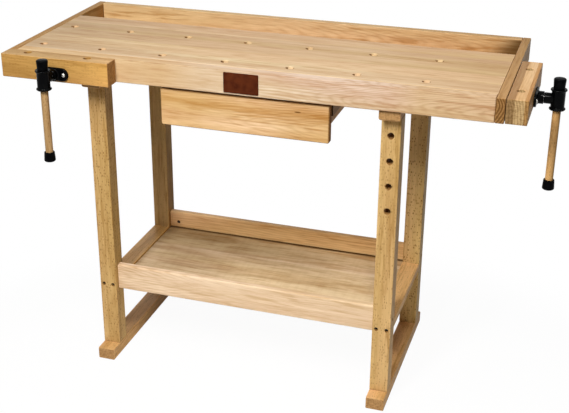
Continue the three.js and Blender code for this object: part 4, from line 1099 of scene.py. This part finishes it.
for prefix, vise in vises.items():
    low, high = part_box(prefix + "_handle_bar")
    radius = (high.x - low.x) / 2
    length = high.z - low.z
    place = Matrix.Translation(((low.x + high.x) / 2, (low.y + high.y) / 2, low.z))
    bar = turned(prefix + "_handle_bar", [
        (0, 0), (radius - 0.001, 0), (radius, 0.001), (radius, length - 0.001), (radius - 0.001, length), (0, length),
    ], place)
    crisp(bar)
    bar_wood = wood(prefix + "_handle", (low, high), "z", HANDLE_TONES[prefix], 81 + len(prefix), rings=0.3, flecks=0.5)
    piece(prefix + "_handle_dowel", bar, prefix + "_vise_handle", "pale_beech", bar_wood, prefix + "_handle_bar")
    for end, sign in (("top", 1), ("bottom", -1)):
        cap_low, cap_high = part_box(f"{prefix}_handle_{end}_cap")
        size = cap_high.z - cap_low.z
        mouth = cap_low.z if sign > 0 else cap_high.z
        profile = [(radius + 0.0002, size - 0.008), (radius + 0.0002, 0), (CAP_MOUTH - 0.0008, 0), (CAP_MOUTH, 0.0008)]
        profile += [(CAP_MOUTH + 0.0004, 0.006)] + arc(CAP_END - 0.0035, size - 0.0042, 0.0035, 0, 78, 6) + [(0, size)]
        turn = Matrix() if sign > 0 else Matrix.Rotation(math.pi, 4, "X")
        place = Matrix.Translation(((low.x + high.x) / 2, (low.y + high.y) / 2, mouth))
        cap = turned(f"{prefix}_cap_{end}", profile, place @ turn)
        crisp(cap, math.radians(40))
        piece(f"{prefix}_handle_cap_{end}", cap, prefix + "_vise_handle", "black_plastic", black_plastic,
              f"{prefix}_handle_{end}_cap")
print("handles turned: 2, caps: 4")

# %% [markdown]
# ## Screws, bolts and nuts
# Small fasteners repeat all over the bench, so one tree sets them: it takes a point for every place,
# turns a template by the angles stored on the point and puts it there. The template of a screw is a
# turned head with a cross cut into it. Cutting is a boolean with two thin bars, done once, and all
# the copies share it.

# %% The repeat tree
def make_repeat_tree():
    tree, given, out = node_tree("set_on_points", [("Template", "Object"), ("Finish", "Material")])
    new = tree.nodes.new
    turn = new("GeometryNodeInputNamedAttribute")
    turn.data_type = "FLOAT_VECTOR"
    turn.inputs["Name"].default_value = "turn"
    angles = new("FunctionNodeEulerToRotation")
    tree.links.new(turn.outputs["Attribute"], angles.inputs[0])
    template = new("GeometryNodeObjectInfo")
    tree.links.new(given["Template"], template.inputs["Object"])
    instance = new("GeometryNodeInstanceOnPoints")
    tree.links.new(given["Geometry"], instance.inputs["Points"])
    tree.links.new(template.outputs["Geometry"], instance.inputs["Instance"])
    tree.links.new(angles.outputs[0], instance.inputs["Rotation"])
    realize = new("GeometryNodeRealizeInstances")
    tree.links.new(instance.outputs[0], realize.inputs[0])
    finish = new("GeometryNodeSetMaterial")
    tree.links.new(realize.outputs[0], finish.inputs["Geometry"])
    tree.links.new(given["Finish"], finish.inputs["Material"])
    tree.links.new(finish.outputs[0], out["Geometry"])
    return tree

repeat_tree = make_repeat_tree()

def helper_object(name, mesh):
    thing = bpy.data.objects.new(name, mesh)
    scene.collection.objects.link(thing)
    return thing

def points_mesh(name, places):
    """Loose points, each with the angles that turn a template's Z axis along a direction."""
    mesh = bpy.data.meshes.new(name)
    mesh.from_pydata([tuple(place) for place, direction in places], [], [])
    turn = mesh.attributes.new("turn", "FLOAT_VECTOR", "POINT")
    for entry, (place, direction) in zip(turn.data, places):
        entry.vector = tuple(Vector(direction).to_track_quat("Z", "Y").to_euler())
    return mesh

def set_on(name, template_mesh, places, material):
    template = helper_object(name + "_template", template_mesh)
    mesh = run_tree(name, repeat_tree, {"Template": template, "Finish": material}, points_mesh(name + "_points", places))
    bpy.data.objects.remove(template)
    crisp(mesh)
    return mesh

def trimmed(mesh, cutter_mesh):
    """The mesh with the cutter taken away from it."""
    body = helper_object("body", mesh)
    cutter = helper_object("cutter", cutter_mesh)
    modifier = body.modifiers.new("cut", "BOOLEAN")
    modifier.operation = "DIFFERENCE"
    modifier.solver = "EXACT"
    modifier.use_self = True
    modifier.object = cutter
    bpy.context.view_layer.update()
    graph = bpy.context.evaluated_depsgraph_get()
    result = bpy.data.meshes.new_from_object(body.evaluated_get(graph))
    body.modifiers.remove(modifier)
    bpy.data.objects.remove(body)
    bpy.data.objects.remove(cutter)
    return result

def cross_bars(size, depth, top):
    shape = bmesh.new()
    for width, length in ((size * 0.24, size * 1.2), (size * 1.2, size * 0.24)):
        box = bmesh.ops.create_cube(shape, size=1)["verts"]
        bmesh.ops.scale(shape, verts=box, vec=(width, length, 2 * depth))
        bmesh.ops.translate(shape, verts=box, vec=(0, 0, top))
    mesh = bpy.data.meshes.new("cross_bars")
    bmesh.ops.recalc_face_normals(shape, faces=shape.faces)
    shape.to_mesh(mesh)
    shape.free()
    return mesh

print("repeat tree:", len(repeat_tree.nodes), "nodes")

# %% [markdown]
# ## Setting the fasteners
# The vise flanges are held by zinc plated pan heads with a cross. The rails are held by dark cap
# screws deep in the legs, and the shelf boards by dark bolts through the legs that pull on round
# barrel nuts, whose slotted ends show on the inner faces of the boards. All of these are bought
# parts, so each kind gets one template.

# %% Set the screws, bolts and nuts
def pan_head():
    head = turned("pan", [
        (0, -0.0052), (0.0012, -0.0052), (0.0024, -0.004), (0.0024, 0), (0.0048, 0), (0.0048, 0.0006),
        *arc(0.0, -0.0030, 0.0060, 37, 80, 5), (0, 0.0030),
    ], sides=32)
    return trimmed(head, cross_bars(0.0040, 0.0013, 0.0030))

def cap_head(head_radius, head_height, shank_radius, shank_length, key):
    head = turned("cap_head", [
        (0, -shank_length), (shank_radius * 0.4, -shank_length), (shank_radius, shank_radius - shank_length),
        (shank_radius, 0), (head_radius, 0), (head_radius, head_height - 0.0006),
        (head_radius - 0.0006, head_height), (0, head_height),
    ], sides=32)
    lift = Matrix.Translation((0, 0, head_height - key * 0.6))
    socket = turned("socket", [(0, 0), (key, 0), (key, key), (0, key)], lift, sides=6)
    return trimmed(head, socket)

def barrel_nut(radius, length):
    nut = turned("nut", [
        (0, -length), (radius - 0.0004, -length), (radius, 0.0004 - length), (radius, -0.0006),
        (radius - 0.0006, 0), (0, 0),
    ], sides=32)
    slot = bmesh.new()
    bmesh.ops.create_cube(slot, size=1)
    bmesh.ops.scale(slot, verts=slot.verts, vec=(0.0014, radius * 4, 0.0024))
    bar = bpy.data.meshes.new("slot")
    slot.to_mesh(bar)
    slot.free()
    return trimmed(nut, bar)

for prefix, vise in vises.items():
    names = [f"{prefix}_flange_screw_{side}" for side in ("left", "right")]
    outward = vise["frame"].to_3x3() @ Vector((0, -1, 0))
    seat = reach(prefix, "flange")[0] + FLANGE_THICK + 0.0002
    places = []
    for name in names:
        offset = vise["frame"].inverted() @ middle(name)
        places.append((vise["frame"] @ Vector((offset.x, -seat, 0)), outward))
    mesh = set_on(prefix + "_flange_screws", pan_head(), places, zinc_steel)
    piece(prefix + "_pan_screws", mesh, prefix + "_vise_jaw", "zinc_steel", zinc_steel, *names)

sides = ("left", "right")
rail_names = [f"{side}_rail_screw_{hand}" for side in sides for hand in sides]
places = []
for name in rail_names:
    low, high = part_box(name)
    places.append((Vector(((low.x + high.x) / 2, low.y + 0.004, (low.z + high.z) / 2)), (0, -1, 0)))
mesh = set_on("rail_screws", cap_head(0.0046, 0.004, 0.0027, 0.066, 0.0029), places, dark_steel)
piece("rail_cap_screws", mesh, "bench_frame", "dark_steel", dark_steel, *rail_names)

bolt_names = [f"{side}_shelf_bolt_{end}" for side in sides for end in ("front", "rear")]
places = []
for name in bolt_names:
    low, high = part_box(name)
    seat, outward = (low.x + 0.004, -1) if name.startswith("left") else (high.x - 0.004, 1)
    places.append((Vector((seat, (low.y + high.y) / 2, (low.z + high.z) / 2)), (outward, 0, 0)))
mesh = set_on("shelf_bolts", cap_head(0.0052, 0.004, 0.0036, 0.0555, 0.003), places, dark_steel)
piece("shelf_bolts", mesh, "bench_frame", "dark_steel", dark_steel, *bolt_names)

NUT_INSET, NUT_RADIUS, NUT_LENGTH = 0.025, 0.0060, 0.0122
nut_height = middle("left_shelf_bolt_front").z
places = []
for board, face, inward in (("shelf_front_board", 1, 1), ("shelf_back_board", 0, -1)):
    low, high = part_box(board)
    y = (low.y, high.y)[face] - inward * 0.0015
    for x in (low.x + NUT_INSET, high.x - NUT_INSET):
        places.append((Vector((x, y, nut_height)), (0, inward, 0)))
mesh = set_on("barrel_nuts", barrel_nut(NUT_RADIUS, NUT_LENGTH), places, dark_steel)
piece("shelf_barrel_nuts", mesh, "bench_frame", "dark_steel", dark_steel)
print("fasteners set:", 4 + len(rail_names) + len(bolt_names) + len(places))

# %% [markdown]
# ## Drilled boards
# Dog holes are drilled through the top and the jaws, and peg holes through one leg. Their rims are
# eased with a countersink so that they don't tear out. We take a copy of each board, weld its loose
# triangles, and cut it with round cutters that flare at both faces. The cutters are set on points by
# the same tree as the screws.

# %% Drill the boards
DOG_RADIUS, PEG_RADIUS = 0.0096, 0.0081
DOG_FIRST, DOG_PITCH, DOG_ROWS = 0.060, 0.1623, (0.0655, 0.2332)
PEG_HEIGHTS = (0.538, 0.602, 0.666, 0.730)

def flared_cutter(radius, length, flare):
    wide = radius + flare
    return turned("cutter", [
        (0, -length - 0.002), (wide + 0.002, -length - 0.002), (wide, -length), (radius, flare - length),
        (radius, -flare), (wide, 0), (wide + 0.002, 0.002), (0, 0.002),
    ])

def welded_copy(node):
    mesh = nodes[node].data.copy()
    mesh.transform(nodes[node].matrix_world)
    shape = bmesh.new()
    shape.from_mesh(mesh)
    bmesh.ops.remove_doubles(shape, verts=shape.verts, dist=1e-6)
    shape.to_mesh(mesh)
    shape.free()
    return mesh

def drill(node, body, slot, places, radius, length, flare=0.0012):
    cutters = set_on(node + "_cutters", flared_cutter(radius, length, flare), places, wood_of[node])
    mesh = trimmed(welded_copy(node), cutters)
    mesh.name = node + "_drilled"
    crisp(mesh, math.radians(25))
    piece(node + "_drilled", mesh, body, slot, wood_of[node], node)
    print(node, "holes:", len(places), "faces:", len(mesh.polygons))

UPWARD = (0, 0, 1)
left_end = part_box("left_end_board")[0].x
columns = [left_end + DOG_FIRST + i * DOG_PITCH for i in range(7)]
rows = [front_face + y for y in DOG_ROWS]
slab_low, slab_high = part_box("top_slab")
drill("top_slab", "bench_frame", "pale_beech",
      [(Vector((x, y, slab_high.z)), UPWARD) for x in columns for y in rows],
      DOG_RADIUS, slab_high.z - slab_low.z)

jaw_low, jaw_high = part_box("front_jaw")
drill("front_jaw", "front_vise_jaw", "golden_beech",
      [(Vector((x, jaw_high.y - 0.0165, jaw_high.z)), UPWARD) for x in columns[:2]],
      DOG_RADIUS, jaw_high.z - jaw_low.z)
jaw_low, jaw_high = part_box("end_jaw")
drill("end_jaw", "end_vise_jaw", "laminated_beech",
      [(Vector((jaw_low.x + 0.024, y, jaw_high.z)), UPWARD) for y in rows],
      DOG_RADIUS, jaw_high.z - jaw_low.z)
leg_low, leg_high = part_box("front_right_leg")
drill("front_right_leg", "bench_frame", "honey_beech",
      [(Vector(((leg_low.x + leg_high.x) / 2, leg_low.y, z)), (0, -1, 0)) for z in PEG_HEIGHTS],
      PEG_RADIUS, leg_high.y - leg_low.y)

# %% [markdown]
# ## The plate on the apron
# A small moulded plate sits in the middle of the apron. Here it is left plain: reddish brown, with
# round corners and a soft edge.

# %% Mould the plate
plate_low, plate_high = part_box("name_plate")
plate_middle = (plate_low + plate_high) / 2
plate_size = plate_high - plate_low
brown_plate = coated("brown_plate", (82, 37, 16), (64, 25, 9), 0.4, 0.0, 55, 900, 0.15, 0.05)
thick = plate_size.y
layers = [(0.0003, 0), (0, 0.0004), (0, thick - 0.0007), (0.0003, thick - 0.0002), (0.0009, thick)]
place = Matrix.Translation((plate_middle.x, plate_high.y, plate_middle.z))
plate = stacked("plain_plate", rounded_outline(plate_size.x, plate_size.z, 0.0025, 6), layers, place @ OUT)
crisp(plate, math.radians(40))
piece("plain_plate", plate, "bench_frame", "brown_plate", brown_plate, "name_plate")
print("plate:", [round(v * 1000, 1) for v in plate_size], "mm")
